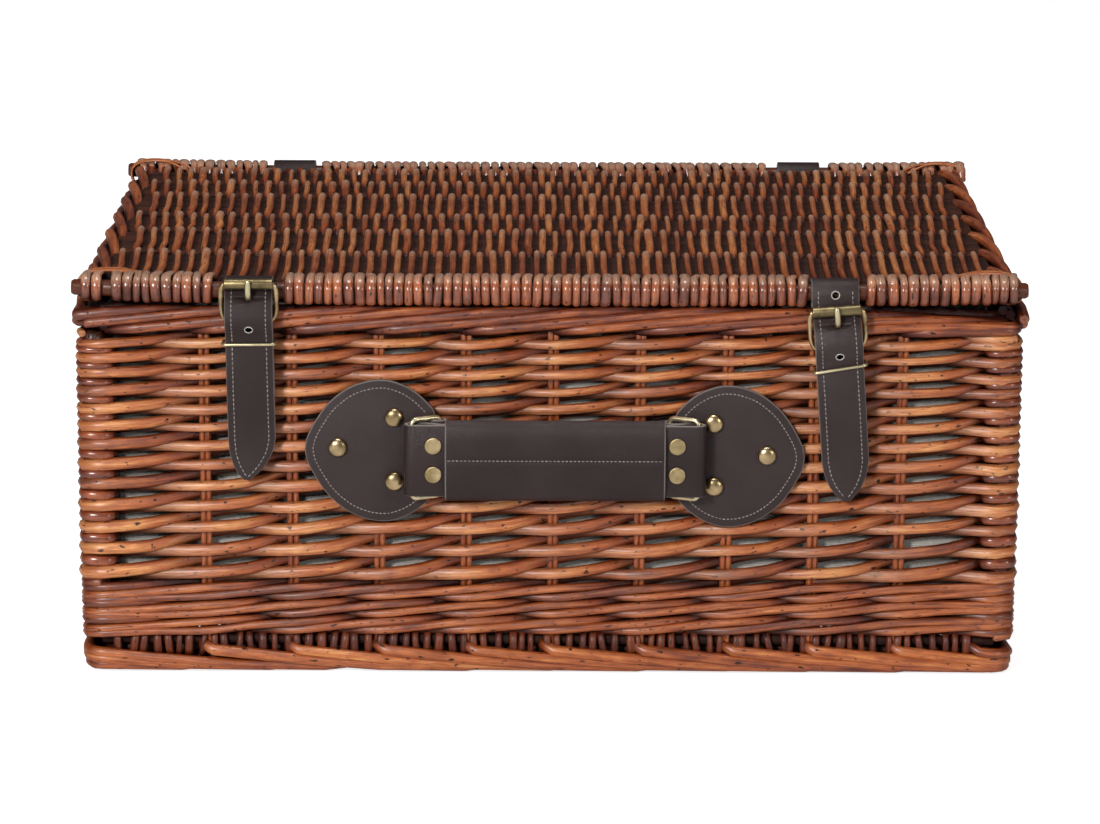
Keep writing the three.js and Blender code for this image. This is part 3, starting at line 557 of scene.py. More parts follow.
# %% [markdown]
# ## One rod through the wall
# A rod passes in front of some uprights and behind others. It bends most between them, where it changes
# sides, and it goes round the outside of a corner post in a wide turn. Where it comes to the front it is
# painted a little paler, as a painted highlight.

# %% Lead a rod past the stations
POST_WRAP, POST_TUCK = 6.5, 5.2
# How pale a rod is painted where it crosses in front of a stake or a post: a painted highlight.
STAKE_SHEEN, POST_SHEEN = 0.12, 0.08


def weaver(start, steps, height, radius, outside, jitter, chance):
    """Control rows of one rod from station start: x, y, z, radius, the outward direction and how pale it is
    painted there for a highlight.
    """
    rows = []
    for m in range(steps + 1):
        here, after = (STATIONS[(start + m + k) % len(STATIONS)] for k in (0, 1))
        r, z = radius(m), height(m) + chance.gauss(0, jitter)
        front = outside(m, here["kind"])
        a, b = here["out"], here.get("next_out")
        if here["kind"] == "stake":
            reach = (WALL_HALF - r) * (1 if front else -1)
            rows.append([*(here["at"] + a * reach), z, r, *a, STAKE_SHEEN * front])
        elif front:
            for push, lift in ((a - b * 0.35, -0.5), ((a + b) / math.sqrt(2) * 1.04, 0), (b - a * 0.35, 0.5)):
                at = here["at"] + push * POST_WRAP
                rows.append([*at, z + lift, r, *((a + b) / 2 + push * 0.5), POST_SHEEN])
        else:
            rows.append([*(here["at"] - (a + b) * POST_TUCK), z, r, *(a + b), 0.0])
        if m < steps:
            out = after["out"]
            middle = (here["at"] + after["at"]) / 2
            middle = middle * (1 - abs(out)) + out * (LINE_X, LINE_Y)
            rest = (0.6 if front != outside(m + 1, after["kind"]) else 1.0) * (1 if front else -1)
            middle = middle + out * rest * (WALL_HALF - radius(m + 0.5))
            # Between uprights a rod coming to the front is painted paler at random: a painted highlight.
            rows.append([*middle, height(m + 0.5) + chance.gauss(0, jitter * 0.4), radius(m + 0.5), *out,
                         0.0 if front else chance.uniform(0.1, 0.7)])
    return rows


# The last argument scales how pale the rod is painted along its length, as a painted highlight.
def lay(bundle, rows, paleness=1.0):
    line = through(rows, 6.5)
    bundle.rod(line, line[:, 3], level_rows(line[:, 4:6]), ends=0.3, pale_marks=line[:, 6] * paleness)


print("a rod can be led past the stations")

# %% [markdown]
# ## Wall weaving
# Above the foot of the wall each upright gets a rod of its own. It goes in front of one upright and behind
# the next, and climbs all the way, so every stroke slants up to the right. Rods taper from about 6 mm to less
# than 4 mm. The rows therefore stand closer together near the rim. The height of a rod after m uprights is a
# gentle curve.

# %% Weave the wall
CLIMB, SLOWING, FIRST_HEIGHT, HIGHEST = 6.1, 0.046, 45.6, 173.4
WALL_FACE = (233.2, 156.7)


def row_height(m):
    return FIRST_HEIGHT + CLIMB * m - SLOWING * m * m


def row_rise(m):
    return CLIMB - 2 * SLOWING * m


def rod_height(m):
    turn, share = math.pi * (m - 1), row_rise(m) / 5.9
    return min(row_height(m) + share * (0.6 * (1 - math.cos(turn)) - 1.2 * math.sin(turn)), HIGHEST)


def weave_wall():
    bundle, chance = Bundle(3, 0.25), random.Random(3)
    for start in range(len(STATIONS)):
        stout = min(chance.gauss(1, 0.08), 1.12)
        rows = weaver(start, 27, rod_height, lambda m: 0.5 * row_rise(m) * (1.08 + 0.009 * m) * stout,
                      lambda m, kind: m % 2 == 1, 0.42, chance)
        lay(bundle, rows[:-1])
    return bundle.make("wall_weave", WILLOW, inside(*WALL_FACE, 6.5))


settle(weave_wall(), "willow", "front_wall", "back_wall", "left_wall", "right_wall")

# %% [markdown]
# ## Waling and uprights
# The foot of the wall is a band of waling: rods that pass in front of two uprights and behind one, packed
# tight. Each upright is a pair of thin rods that stand side by side.

# %% Waling and stakes
WALE_FOOT, WALE_ROW, WALE_RADIUS = 20.4, 4.35, 2.25
WALE_LEVEL = [0, 0.5, 1.5, 2, 2.5, 3.5, 4, 4.5, 5.5, 6]
STAKE_RADIUS, STAKE_APART = 1.55, 1.4


def wale_height(m):
    return WALE_FOOT + WALE_ROW * float(np.interp(m, range(10), WALE_LEVEL))


def wale_wall():
    bundle, chance = Bundle(5, 0.0, 0.45), random.Random(5)
    for start in range(len(STATIONS)):
        stout = WALE_RADIUS * chance.gauss(1, 0.04)
        rows = weaver(start, 9, wale_height, lambda m: stout,
                      lambda m, kind: kind == "post" or m % 3 != 0, 0.25, chance)
        lay(bundle, rows, paleness=0.3)
    return bundle.make("wall_waling", WILLOW, inside(*WALL_FACE, 4.2))


def stand_stakes():
    bundle, chance = Bundle(), random.Random(7)
    for station in (s for s in STATIONS if s["kind"] == "stake"):
        for side in (-STAKE_APART, STAKE_APART):
            at = station["at"] + station["way"] * side
            rows = [[*(at + station["way"] * chance.gauss(0, 0.12)), z] for z in (13, 60, 115, 176)]
            bundle.rod(through(rows, 12), STAKE_RADIUS, (*station["out"], 0),
                       tint=0.22 + 0.35 * chance.random())
    return bundle.make("wall_stakes", WILLOW, inside(229.4, 152.9, 4.5))


settle(wale_wall(), "willow", body="basket")
settle(stand_stakes(), "willow", body="basket")

# %% [markdown]
# ## Corner posts
# A thick stick stands in each corner. Where a weaver passes behind it, the maker fills the gap with a short
# rod that only wraps the post, so the corner is a stack of even, rounded turns.

# %% Posts and their wraps
POST_RADIUS, WRAP_REACH, WRAP_THICK = 6.0, 7.9, 2.1


def corner_post(name, sx, sy, seed):
    bundle = Bundle(seed, 0.0, 0.42)
    at = np.array([sx * POST_X, sy * POST_Y])
    bundle.rod([[*at, z] for z in (21, 60, 120, 174)], POST_RADIUS, (sx, sy, 0), sides=12, tint=0.3)
    middle = at - np.array([sx, sy]) * 1.2
    round_post = arc(np.arange(16) * 22.5, 1.0)
    reach = WRAP_REACH * round_post / (round_post**4).sum(1, keepdims=True) ** 0.25
    for m in range(2, 25, 2):
        loop = np.column_stack([middle + reach, row_height(m) + 0.7 + 0.4 * sx * round_post[:, 0]])
        bundle.rod(loop, 1.0, level_rows(reach), (0.5 * row_rise(m) * 0.97, WRAP_THICK), closed=True)
    return bundle.make(name, SHINY_WILLOW, inside(234.2, 157.7, 4.2))


for seed, (node, sx, sy) in enumerate([("front_left_post", -1, -1), ("front_right_post", 1, -1),
                                       ("back_right_post", 1, 1), ("back_left_post", -1, 1)], 20):
    settle(corner_post("wrapped_" + node, sx, sy, seed), "willow", node)

# %% [markdown]
# ## Foot border
# Under the waling each upright is turned out and laid to the right along the foot, sloping down under the
# next ones. The path runs along a rounded rectangle, so a helper turns a distance along the edge into a place
# and a direction. Two rods behind the border only keep it solid.

# %% Foot border
FOOT_EDGE, FILLER_EDGE = (228.3, 151.8, 5), (LINE_X, LINE_Y, 8)
# Distance along the edge, reach outward, height and radius.
FOOT_STEPS = [(-3, -5, 16, 2.6), (-2, -0.5, 14.2, 2.8), (3, 2.6, 11.9, 2.95), (14, 3.0, 10.9, 2.95),
              (43, 2.7, 7.6, 2.9), (86, 1.7, 4.1, 2.8), (129, 0.8, 3.3, 2.7), (142, -4, 3.3, 2.6)]


def edge_place(s, half_x, half_y, corner):
    """Place and outward direction at a distance s along a rounded rectangle from the front left corner."""
    half, quarter = np.array([half_x, half_y]), corner * math.pi / 2
    spans = [2 * (half_x - corner), 2 * (half_y - corner)] * 2
    s %= sum(spans) + 4 * quarter
    for (out, way), span in zip(WALLS, spans):
        if s <= span:
            return out * half + way * (s - span / 2), out
        s -= span
        if s <= quarter:
            angle = s / corner
            turned = out * math.cos(angle) + way * math.sin(angle)
            return (out + way) * (half - corner) + turned * corner, turned
        s -= quarter
    return edge_place(0, half_x, half_y, corner)


def sampled(steps, spacing):
    """Rows on the straight lines between steps, close together, without the last step."""
    rows = []
    for a, b in zip(steps[:-1], steps[1:]):
        count = max(1, round(abs(b[0] - a[0]) / spacing))
        rows += [a + (b - a) * t for t in np.arange(count) / count]
    return rows


def edge_line(start, steps, edge):
    """Control rows on the edge from steps of distance, outward reach, height and radius."""
    steps = np.asarray(steps, float)
    rows = []
    for d, o, z, r in [*sampled(steps, 3.0), steps[-1]]:
        at, out = edge_place(start + d, *edge)
        rows.append([*(at + out * o), z, r, *out])
    return np.array(rows)


def foot_start(station):
    """Distance along the foot's edge of the point nearest to a station."""
    around = np.arange(0, 4 * (FOOT_EDGE[0] + FOOT_EDGE[1]), 1.0)
    return min(around, key=lambda s: np.linalg.norm(edge_place(s, *FOOT_EDGE)[0] - station["at"]))


def foot_border():
    bundle, chance = Bundle(11, 0.15, 0.6), random.Random(11)
    for station in STATIONS:
        start = foot_start(station) + (-14 if station["kind"] == "post" else chance.gauss(0, 1.5))
        stout = chance.gauss(1, 0.04)
        steps = [(d, o, max(z, 2.95 * stout + 0.05), r * stout) for d, o, z, r in FOOT_STEPS]
        line = through(edge_line(start, steps, FOOT_EDGE), 5)
        bundle.rod(line, line[:, 3], level_rows(line[:, 4:6]), sides=10)
    for out, z in ((-7, 4), (-8, 10)):
        steps = [(d, out, z + 0.4 * math.sin(d / 40), 3.3) for d in np.arange(0, 1478, 30)]
        line = edge_line(0, steps, FILLER_EDGE)[:-1]
        bundle.rod(line, 3.3, level_rows(line[:, 4:6]), closed=True, tint=0.4)
    return bundle.make("foot_rods", WILLOW, inside(233.8, 157.2, 7.0, 0.0))


settle(foot_border(), "willow", "foot_border")

# %% [markdown]
# ## Base
# The base is woven flat like a mat: thin rods run from front to back, over and under long sticks,
# and turn round the first and last stick. Their turns show as short upright bits between waling and foot.
# The lid is woven in the same way, so one helper weaves both.

# %% Woven base
TURN_BEHIND = 17.5
LID_Z, LID_BOW, LID_HALF = 197.3, 1.5, 235
BASE_Z, BASE_STICKS = 18.3, [-120 + 40 * i for i in range(7)]
# Share of the lean, distance from the middle and height.
BASE_TURN = [(-1, 146, 8.2), (-1, 151, 8.6), (-0.4, 153.4, 12), (0.4, 153.4, 17), (1, 151, 20.8),
             (1, 146, 21.2)]


def lid_rise(x):
    """The lid's ends stand a little higher than its middle."""
    return LID_BOW * (abs(x) / LID_HALF) ** 4


def bow(line):
    line = np.array(line, float)
    line[:, 2] += lid_rise(line[:, 0])
    return line


def woven_sheet(bundle, chance, xs, sticks, end, middle_z, lift, radius, lid=False):
    """Rods along Y over and under the sticks, each unlike its neighbour. They change sides behind a stick."""
    step, spread = (6.0, 0.15) if lid else (7.0, 0.07)
    for i, x in enumerate(xs):
        side, start = (1 if i % 2 == 0 else -1) * lift, -end
        rows = [[x, start, middle_z + side * 0.5, 0]]
        for y in sticks:
            turn = y + TURN_BEHIND + chance.gauss(0, 1.1)
            sway = x + chance.gauss(0, 0.2)
            tilt = (0.011 * x * lid + chance.gauss(0, spread * 3)) * side / lift / 45
            # The lid's upper rods are painted paler on the crest and head: a painted highlight.
            crest = lid and side > 0
            if y - 10 > start + 9:
                rows.append([sway - 20 * tilt, (start + 5 + y - 10) / 2, middle_z + side * 0.95, 0])
            rows += [[sway - 5 * tilt, y - 7, middle_z + side, 0],
                     [sway + 8 * tilt, y + 6, middle_z + side * 1.06, 0.3 * crest],
                     [sway + 12 * tilt, turn - 4.2, middle_z + side, 0.85 * crest],
                     [sway + 12 * tilt, turn + 3, middle_z - side * 0.7, 0]]
            start, side = turn, -side
        rows.append([x, end, middle_z + side * 0.6, 0])
        line = through(rows, step)
        stout = min(max(chance.gauss(1, spread), 0.72), 1.26)
        bundle.rod(bow(line) if lid else line, radius * stout, pale_marks=line[:, 3])


def woven_base():
    bundle, chance = Bundle(13), random.Random(13)
    woven_sheet(bundle, chance, np.arange(-214, 214.1, 5.0), BASE_STICKS, 146, BASE_Z, 1.9, 1.7)
    for side in (-1, 1):
        for x in np.arange(-214, 214.1, 5.9):
            x, lean, width = x + chance.gauss(0, 0.9), chance.gauss(0, 0.5), 1.8 * chance.gauss(1, 0.15)
            line = through([[x + lean * share, side * out, z] for share, out, z in BASE_TURN], 3.5)
            outward = (line - (0, side * 144, 14.7)) * (0, 1, 1)
            # The turn bits get only the darker tints, as painted shade under the waling.
            bundle.rod(line, 1.0, outward, (width, 1.3), tint=0.4 * chance.random())
    # Beyond 147 mm from the middle the turn bits are painted half dark all over, as painted shade.
    return bundle.make("base_weave", LID_WILLOW,
                       lambda p: np.where(abs(p[:, 1]) > 147, 0.55, (3.6 - abs(p[:, 2] - BASE_Z)) / 4))


def base_sticks():
    bundle = Bundle()
    for y in BASE_STICKS:
        for side in (-2.4, 2.4):
            bundle.rod(np.linspace((-224, y + side, BASE_Z), (224, y + side, BASE_Z), 6), 2.2, tint=0.4)
    for y in (-148, 148):
        bundle.rod(np.linspace((-224, y, 16.2), (224, y, 16.2), 6), 2.8, tint=0.3)
    for x in (-221, 221):
        for z in (14.5, 19.0):
            bundle.rod(np.linspace((x, -146, z), (x, 146, z), 5), 2.6, tint=0.35)
    # The sticks under the base are painted nearly black as painted shade.
    return bundle.make("base_sticks", SHADED_WILLOW)


settle(woven_base(), "willow", "base_panel")
settle(base_sticks(), "willow", body="basket")

# %% [markdown]
# ## Rim border
# The tops of the uprights are bent down to the right and laid along the edge. Each comes out at the bottom of
# the border, rises slowly along the face and disappears over the top. Two short butts show where each run
# starts, and at its right end the run bends round the corner. Three rods behind each run only keep it solid.

# %% Rim border
RIM_BEND, RIM_TOP, RIM_SLOPE, RIM_FOOT = 6.0, 186.4, 0.098, 175


def rim_side(name, half, face, out, way, seed, front):
    bundle, chance = Bundle(seed, 0.04, 0.46), random.Random(seed)
    butt, fall, stop = (1.0, 7.5, 30) if front else (0.12, 3.0, 8)

    def place(s, depth):
        turn_from = half - 2.5 - RIM_BEND - depth
        if s <= turn_from:
            return way * s + out * (face - depth)
        angle = min((s - turn_from) / RIM_BEND, math.pi / 2)
        rest = max(0.0, (s - turn_from) - RIM_BEND * math.pi / 2)
        inward = face - depth - RIM_BEND * (1 - math.cos(angle)) - rest
        return way * (turn_from + RIM_BEND * math.sin(angle)) + out * inward

    def run(steps, r, **looks):
        """Lays a rod along steps of distance, depth behind the face and height."""
        rows = []
        for s, depth, z in sampled(np.array(steps, float), 4.0):
            if s < half + 3:
                share = min(s / half, 1)
                droop = fall * share**4 if share > 0 else 1.2 * share**6
                rows.append([*place(s, depth), z - droop * (z - RIM_FOOT) / 12 * (1.0 if depth < 8 else 0.6)])
        line = through(rows, 4)
        bundle.rod(line, r * np.linspace(1, 0.93, len(line)), sides=10, **looks)

    def rising(r, *first):
        s, _, z = first[-1]
        top = (RIM_TOP - z) / RIM_SLOPE
        run([*first, *((s + top * t, 2.9, z + (RIM_TOP - z) * t) for t in (0.35, 0.7, 1)),
             (s + top + 20, 4.6, 187.0), (s + top + 48, 8.5, 186.2)], r, ends=butt)

    rising(2.75, (-half + 1.5, 3.2, 184.8))
    rising(2.7, (-half + 7, 3.1, 180.6))
    s = -half + 22
    while s < half - stop:
        rising(2.6 * chance.gauss(1, 0.05), (s - 5, 10, 175.6), (s, 6.2, 176.6), (s + 9, 3.4, 177.6))
        s += 42 + chance.gauss(0, 2.5)
    for depth, z in ((9.2, 177.8), (8.6, 183.6), (12.5, 186.0)):
        filler = [(q, depth + 0.3 * math.sin(q / 23), z) for q in np.linspace(-half + 14, half - 7, 9)]
        run(filler, 3.0, tint=0.0, ends=0.0)
    return bundle.make(name, WILLOW, inside(236.3, 159.8, 5.6))


for k, name in enumerate(("front", "right", "back", "left")):
    half, face = (159.5, 236.5) if k % 2 else (236, 160)
    settle(rim_side("rim_rods_" + name, half, face, *WALLS[k], 31 + k, k == 0), "willow", "rim_" + name)

# %% [markdown]
# ## Lining
# A pale cotton bag hangs inside the wall: one long strip round the four sides with a hem at the top, and a
# floor. Both are sheets of cloth.

# %% Cloth lining
LINING_LOW, LINING_HIGH, HEM_FROM = 22.4, 183.0, 152
LINING_LEVELS = [0, 12, 30, 55, 80, 105, 130, 148, 153, 156, 160.6]
LINING_X, LINING_Y, LINING_CORNER = LINING_EDGE = (221.2, 144.7, 15)
LINING_LENGTH = 2 * (2 * LINING_X + 2 * LINING_Y) - 8 * LINING_CORNER + 2 * math.pi * LINING_CORNER
CLOTH_THICK, LINING_ROUND = 0.8, 240
FLOOR_X, FLOOR_Y = 434, 281


def cloth(name, points, faces):
    mesh = bpy.data.meshes.new(name)
    mesh.from_pydata(metres(points).tolist(), [], faces)
    mesh.uv_layers.new(name="UVMap")
    mesh.shade_smooth()
    mesh.materials.append(COTTON)
    made = stand(name, mesh)
    take_up(made)
    thick = made.modifiers.new("thickness", "SOLIDIFY")
    thick.thickness, thick.offset = CLOTH_THICK * MM, -1
    bpy.ops.object.modifier_apply(modifier="thickness")
    made.select_set(False)
    return made


def lining_walls():
    points = []
    for rise in LINING_LEVELS:
        for share in np.arange(LINING_ROUND) / LINING_ROUND:
            at, out = edge_place(share * LINING_LENGTH, *LINING_EDGE)
            s = share * 2 * math.pi
            ripple = (0.9 * math.sin(s * 17 + 0.6) + 0.6 * math.sin(s * 29 + rise * 0.02)) * min(1, rise / 60)
            inward = 1.3 + ripple * 0.8 + (0.36 if rise > HEM_FROM else 0.0)
            points.append((*(at - out * inward), LINING_LOW + rise))
    return cloth("lining_walls", points, skin(len(LINING_LEVELS), LINING_ROUND, LINING_LEVELS)[0])


def lining_floor():
    nx, ny = 60, 40
    points = [(FLOOR_X * (i / nx - 0.5), FLOOR_Y * (j / ny - 0.5),
               23.0 + 0.25 * math.sin(i * 0.9) * math.sin(j * 0.7))
              for j in range(ny + 1) for i in range(nx + 1)]
    corners = [j * (nx + 1) + i for j in range(ny) for i in range(nx)]
    return cloth("lining_floor", points, [(c, c + 1, c + nx + 2, c + nx + 1) for c in corners])


lining = settle(lining_walls(), "lining", "body_lining")
base_cloth = settle(lining_floor(), "lining", body="basket")

# %% [markdown]
# ## Lid weaving
# The lid is a mat like the base, but closer: rods 4 mm thick run from front to back, over and under bands of
# long cross sticks, and change sides between one band and the next. The rows aren't evenly spaced on the real
# lid, and these places follow them. The ends are turned round a thick stick at the front and at the back, so
# close that they hide it, apart from where the leather turns on it.

# %% Lid weave and sticks
LID_ROWS = [-101, -46, -5, 50, 86, 122]
STRAP_X, HINGE_X = (-147.6, 139.8), (-141.5, 141.0)
STICK_Y, STICK_Z, CROSS_MARGIN = 155.75, 196.5, 5.4


def lid_weave():
    bundle, chance = Bundle(41, 0.27), random.Random(41)
    xs = [-214.6 + 3.46 * i + chance.gauss(0, 0.25) for i in range(125)]
    woven_sheet(bundle, chance, xs, LID_ROWS, 146.2, LID_Z, 3.8, 1.8, lid=True)
    return bundle.make("lid_weave", LID_WILLOW,
                       lambda p: (6.0 - abs(p[:, 2] - lid_rise(p[:, 0]) - LID_Z)) / 4.2)


def lid_sticks():
    bundle = Bundle(43)
    turns = [-147, *(y + TURN_BEHIND for y in LID_ROWS), 150]
    for near, far in zip(turns[:-1], turns[1:]):
        count = max(1, int((far - near - 2 * CROSS_MARGIN) // 5) + 1)
        band = np.linspace(near + CROSS_MARGIN, far - CROSS_MARGIN, count)
        for y in band if count > 1 else [(near + far) / 2]:
            bundle.rod(bow(np.linspace((-221, y, LID_Z), (221, y, LID_Z), 17)), 2.45)
    # The cross sticks under the lid weave are painted nearly black as painted shade.
    return bundle.make("lid_cross_sticks", SHADED_WILLOW)


settle(lid_weave(), "lid_willow", "lid_panel")
settle(lid_sticks(), "lid_willow", body="lid")

# %% [markdown]
# ## Front and back sticks of the lid
# The rods' ends are flattened and wound round a thick stick, side by side, and tucked back into the mat. No
# two turns are alike, so each has its own width, lean and reach. The stick stays bare where a strap turns on
# it.

# %% Long sticks with their turns
BARE_HALF = 13.2


def edge_stick(name, side, bare, seed):
    """A long stick at the front or back of the lid with its close turns."""
    bundle, chance = Bundle(seed, 0.0, 0.5 if side < 0 else 0.35), random.Random(seed)
    y = side * STICK_Y
    stick = bow(np.linspace((-LID_HALF, y, STICK_Z), (LID_HALF, y, STICK_Z), 19))
    bundle.rod(stick, 4.2 - 0.3 * (stick[:, 0] / LID_HALF) ** 4, sides=14, tint=1.0)
    x = -230.0
    while x < 229.5:
        width = 4.75 * min(max(chance.gauss(1, 0.12), 0.75), 1.25)
        at, x = x + width / 2, x + width + max(0, chance.gauss(0.1, 0.25))
        if any(abs(at - c) < BARE_HALF + width / 2 for c in bare) or (side < 0 and -222 < at < -216.5):
            continue
        small = (at / LID_HALF) ** 2 * (0.8 if at < 0 else 0.3)
        reach = 5.8 - 0.3 * small + chance.gauss(0, 0.25)
        low = 5.55 - 0.6 * small + abs(chance.gauss(0, 0.35))
        reach, crown = (min(reach, 5.4), 5.8) if side > 0 else (reach, 6.3)
        lean, drift, back = chance.gauss(0, 0.35), chance.gauss(0.6, 0.5), chance.gauss(0, 1.4)
        # Share of the lean, share of the drift, distance out from the stick's middle, height above it.
        turn = [(-1, 0, -4.5, -5.2), (-1, 0, -1, -low), (-0.6, 0, 3.8, 1 - low), (-0.2, 0, reach - 0.2, -1.6),
                (0.2, 0, reach - 0.1, 2.3), (0.6, 0, 3.4, crown - 1), (1, 0, -1.2, crown),
                (1, 1, -7.5 - back * 0.5, 6.2), (1, 1.6, -13 - back, 3.6), (1, 2, -17.5 - back, -1)]
        rows = [[at + lean * a + drift * b, y + side * out, STICK_Z + z] for a, b, out, z in turn]
        line = bow(through(rows, 2.4))
        ref = (line - (0, y, STICK_Z)) * (0, 1, 1)
        tail = abs(line[:, 1]) < STICK_Y - 8
        ref[tail] = UP
        # The tops of the turns are painted paler as a painted highlight.
        bundle.rod(line, np.where(tail, 0.84, 1.0), ref, (width / 2 * 0.98, 1.4 - 0.2 * small), 10,
                   pale_marks=0.04 + 0.3 * np.clip((line[:, 2] - STICK_Z - 4.2) / 1.4, 0, 1))
    return bundle.make(name, SHINY_WILLOW,
                       lambda p: (7.45 - np.hypot(abs(p[:, 1]) - STICK_Y, p[:, 2] - STICK_Z)) / 2.2)


settle(edge_stick("lid_front_turns", -1, STRAP_X, 45), "lid_willow", "lid_front_stick")
settle(edge_stick("lid_back_turns", 1, HINGE_X, 46), "lid_willow", "lid_back_stick")

# %% [markdown]
# ## Lid ends and corners
# At each end a stick is wound with three rods like a rope. Split willow, thin and flat, ties the four
# corners.

# %% Lid side ropes and corner ties
ROPE_X, ROPE_Z, ROPE_RADIUS, ROPE_TURN = 224.4, STICK_Z + 1.4, 3.7, 132
TIE = [(198, 143, 200.5), (204, 145.5, 203.2), (214, 148.5, 205.0), (224, 149.5, 204.8),
       (230.2, 151, 202.6), (232.6, 152, 198.0), (231.6, 151, 192.5), (226, 148, 190.2)]


def side_rope(name, side):
    bundle, x = Bundle(), side * ROPE_X
    bundle.rod(np.linspace((x, -147.2, STICK_Z), (x, 147.2, STICK_Z), 8), 2.6, sides=10, tint=0.1)
    y = np.linspace(-146.5, 146.5, 45)
    for strand in range(3):
        a, b = arc((y / ROPE_TURN + strand / 3) * 360, ROPE_RADIUS).T
        line = through(np.column_stack([x + a, y, ROPE_Z + b]), 4)
        bundle.rod(line, 2.7, sides=10, tint=0.1 + 0.2 * strand)
    return bundle.make(name, LID_WILLOW, lambda p: (6.3 - np.hypot(p[:, 0] - x, p[:, 2] - ROPE_Z)) / 4)


def corner_ties():
    bundle = Bundle()
    for sx in (-1, 1):
        for sy in (-1, 1):
            for k, reach in enumerate((0.0, 3.2)):
                line = through([[sx * (x + reach * (x < 210)), sy * (y - reach), z] for x, y, z in TIE], 3)
                outward = (line - (sx * 222, 0, 194)) * (1, 0, 1)
                bundle.rod(line, 1.0, outward, (2.2 - 0.5 * k, 0.7), tint=0.55 + 0.2 * k)
    return bundle.make("lid_corner_ties", LID_WILLOW)


settle(side_rope("lid_rope_left", -1), "lid_willow", "lid_side_left")
settle(side_rope("lid_rope_right", 1), "lid_willow", "lid_side_right")
settle(corner_ties(), "lid_willow", body="lid")

# %% [markdown]
# ## Leather strips
# A strap is a strip with a rounded edge, so a rounded rectangle is swept along the strap's middle line.
# The cut edge of dark leather is paler than its face, and the strip marks it. Holes and slots are cut with a
# Boolean modifier, as a punch would cut them. The stitches are little separate bars of thread.

# %% Strips, punches and stitches
# The corners of a rectangle: the sides it lies on, across and up, and where its quarter turn starts.
CORNERS = ((1, 1, 0), (-1, 1, 90), (-1, -1, 180), (1, -1, 270))
EDGE_WEAR = {0: 1.0, 45: 0.35, 90: 0.0}
STITCH_RADIUS, STITCH_SINK, STITCH_LIFT = 0.3, -0.12, 0.1


def face_outward(piece):
    take_up(piece)
    bpy.ops.object.mode_set(mode="EDIT")
    bpy.ops.mesh.select_all(action="SELECT")
    bpy.ops.mesh.normals_make_consistent(inside=False)
    bpy.ops.object.mode_set(mode="OBJECT")


def smooth(piece, degrees):
    """Shades the piece smooth, apart from edges sharper than this, and puts it down."""
    bpy.ops.object.shade_smooth_by_angle(angle=math.radians(degrees))
    piece.select_set(False)


def strip(name, line, across, width, thick, finish, looks=-1):
    """line: rows x, y, z; across: the direction of the width, one or one per row; width: one or one per row.
    Also gives the directions out of its face on the side it looks to: -1 the front, 1 the back."""
    line = np.asarray(line, float)
    n = len(line)
    across = unit(np.broadcast_to(np.asarray(across, float), (n, 3)))
    width = np.broadcast_to(np.asarray(width, float), (n,))
    normal = unit(np.cross(unit(np.gradient(line, axis=0)), across))
    soft = min(0.55, thick * 0.3)
    ring = []
    for sa, sb, turn in CORNERS:
        for step, (a, b) in zip((0, 45, 90), arc(np.add((0, 45, 90), turn), soft)):
            paleness = EDGE_WEAR[step if sa * sb > 0 else 90 - step]
            ring.append((sa, a - sa * soft, sb * (thick / 2 - soft) + b, paleness))
    sign, inset, level, paleness = np.array(ring).T
    reach = sign * np.maximum(width / 2, soft)[:, None] + inset
    points = line[:, None] + across[:, None] * reach[..., None] + normal[:, None] * level[:, None]
    bundle = Bundle()
    bundle.solid(points.reshape(-1, 3), len(ring), np.tile(paleness, n), distances(line) / 100)
    made = bundle.make(name, finish)
    face_outward(made)
    smooth(made, 40)
    return made, normal * (1 if normal[-1, 1] * looks > 0 else -1)


def punch(piece, cutter):
    """Cuts the cutter out of the piece and throws the cutter away."""
    bpy.context.view_layer.objects.active = piece
    made = piece.modifiers.new("punch", "BOOLEAN")
    made.object, made.operation, made.solver = cutter, "DIFFERENCE", "EXACT"
    bpy.ops.object.modifier_apply(modifier="punch")
    bpy.data.objects.remove(cutter)


def stitches(name, runs, spacing=2.35, length=1.55):
    """Bars of thread. runs: pairs of a line on the leather's face and the directions out of that face."""
    bundle = Bundle()
    for line, facing in runs:
        facing = np.broadcast_to(np.asarray(facing, float), line.shape)
        run = distances(line)
        for s in np.arange(spacing / 2, run[-1] - spacing / 2, spacing):
            out = np.array([np.interp(s, run, facing[:, c]) for c in range(3)])
            bar = [[np.interp(s + d, run, line[:, c]) for c in range(3)] + out * lift
                   for d, lift in ((-length / 2, STITCH_SINK), (0, STITCH_LIFT), (length / 2, STITCH_SINK))]
            bundle.rod(bar, STITCH_RADIUS, out, (1.0, 0.8), 6, 0.5, ends=0.0)
    return bundle.make(name, THREAD)


print("leather can be cut, punched and stitched")

# %% [markdown]
# ## Things that hang
# Both straps hang a little out of true, as on the real basket, and the buckles lean with them. Pieces that
# hang are made upright about x = 0 and leaned last. The cutters for their holes are leaned in the same way.

# %% Hanging pieces
STRAP_LEAN = (0.011, 0.079)
HEEL = (183.0, 170.5)
TIP = (102.0, 91.7)
HEEL_Y, STRAP_TOP_Y, STRAP_HEEL_Y, STRAP_FLAT_Y = -163.9, -161.7, -169.62, -166.0
HOLE_RADIUS = 1.75
# The prong's path from the heel bar: y and z.
PRONG = [(-0.2, 2.4), (-0.5, 7), (-2.4, 10.6), (-5.4, 13.2), (-6.6, 16.5), (-6.9, 21.4)]


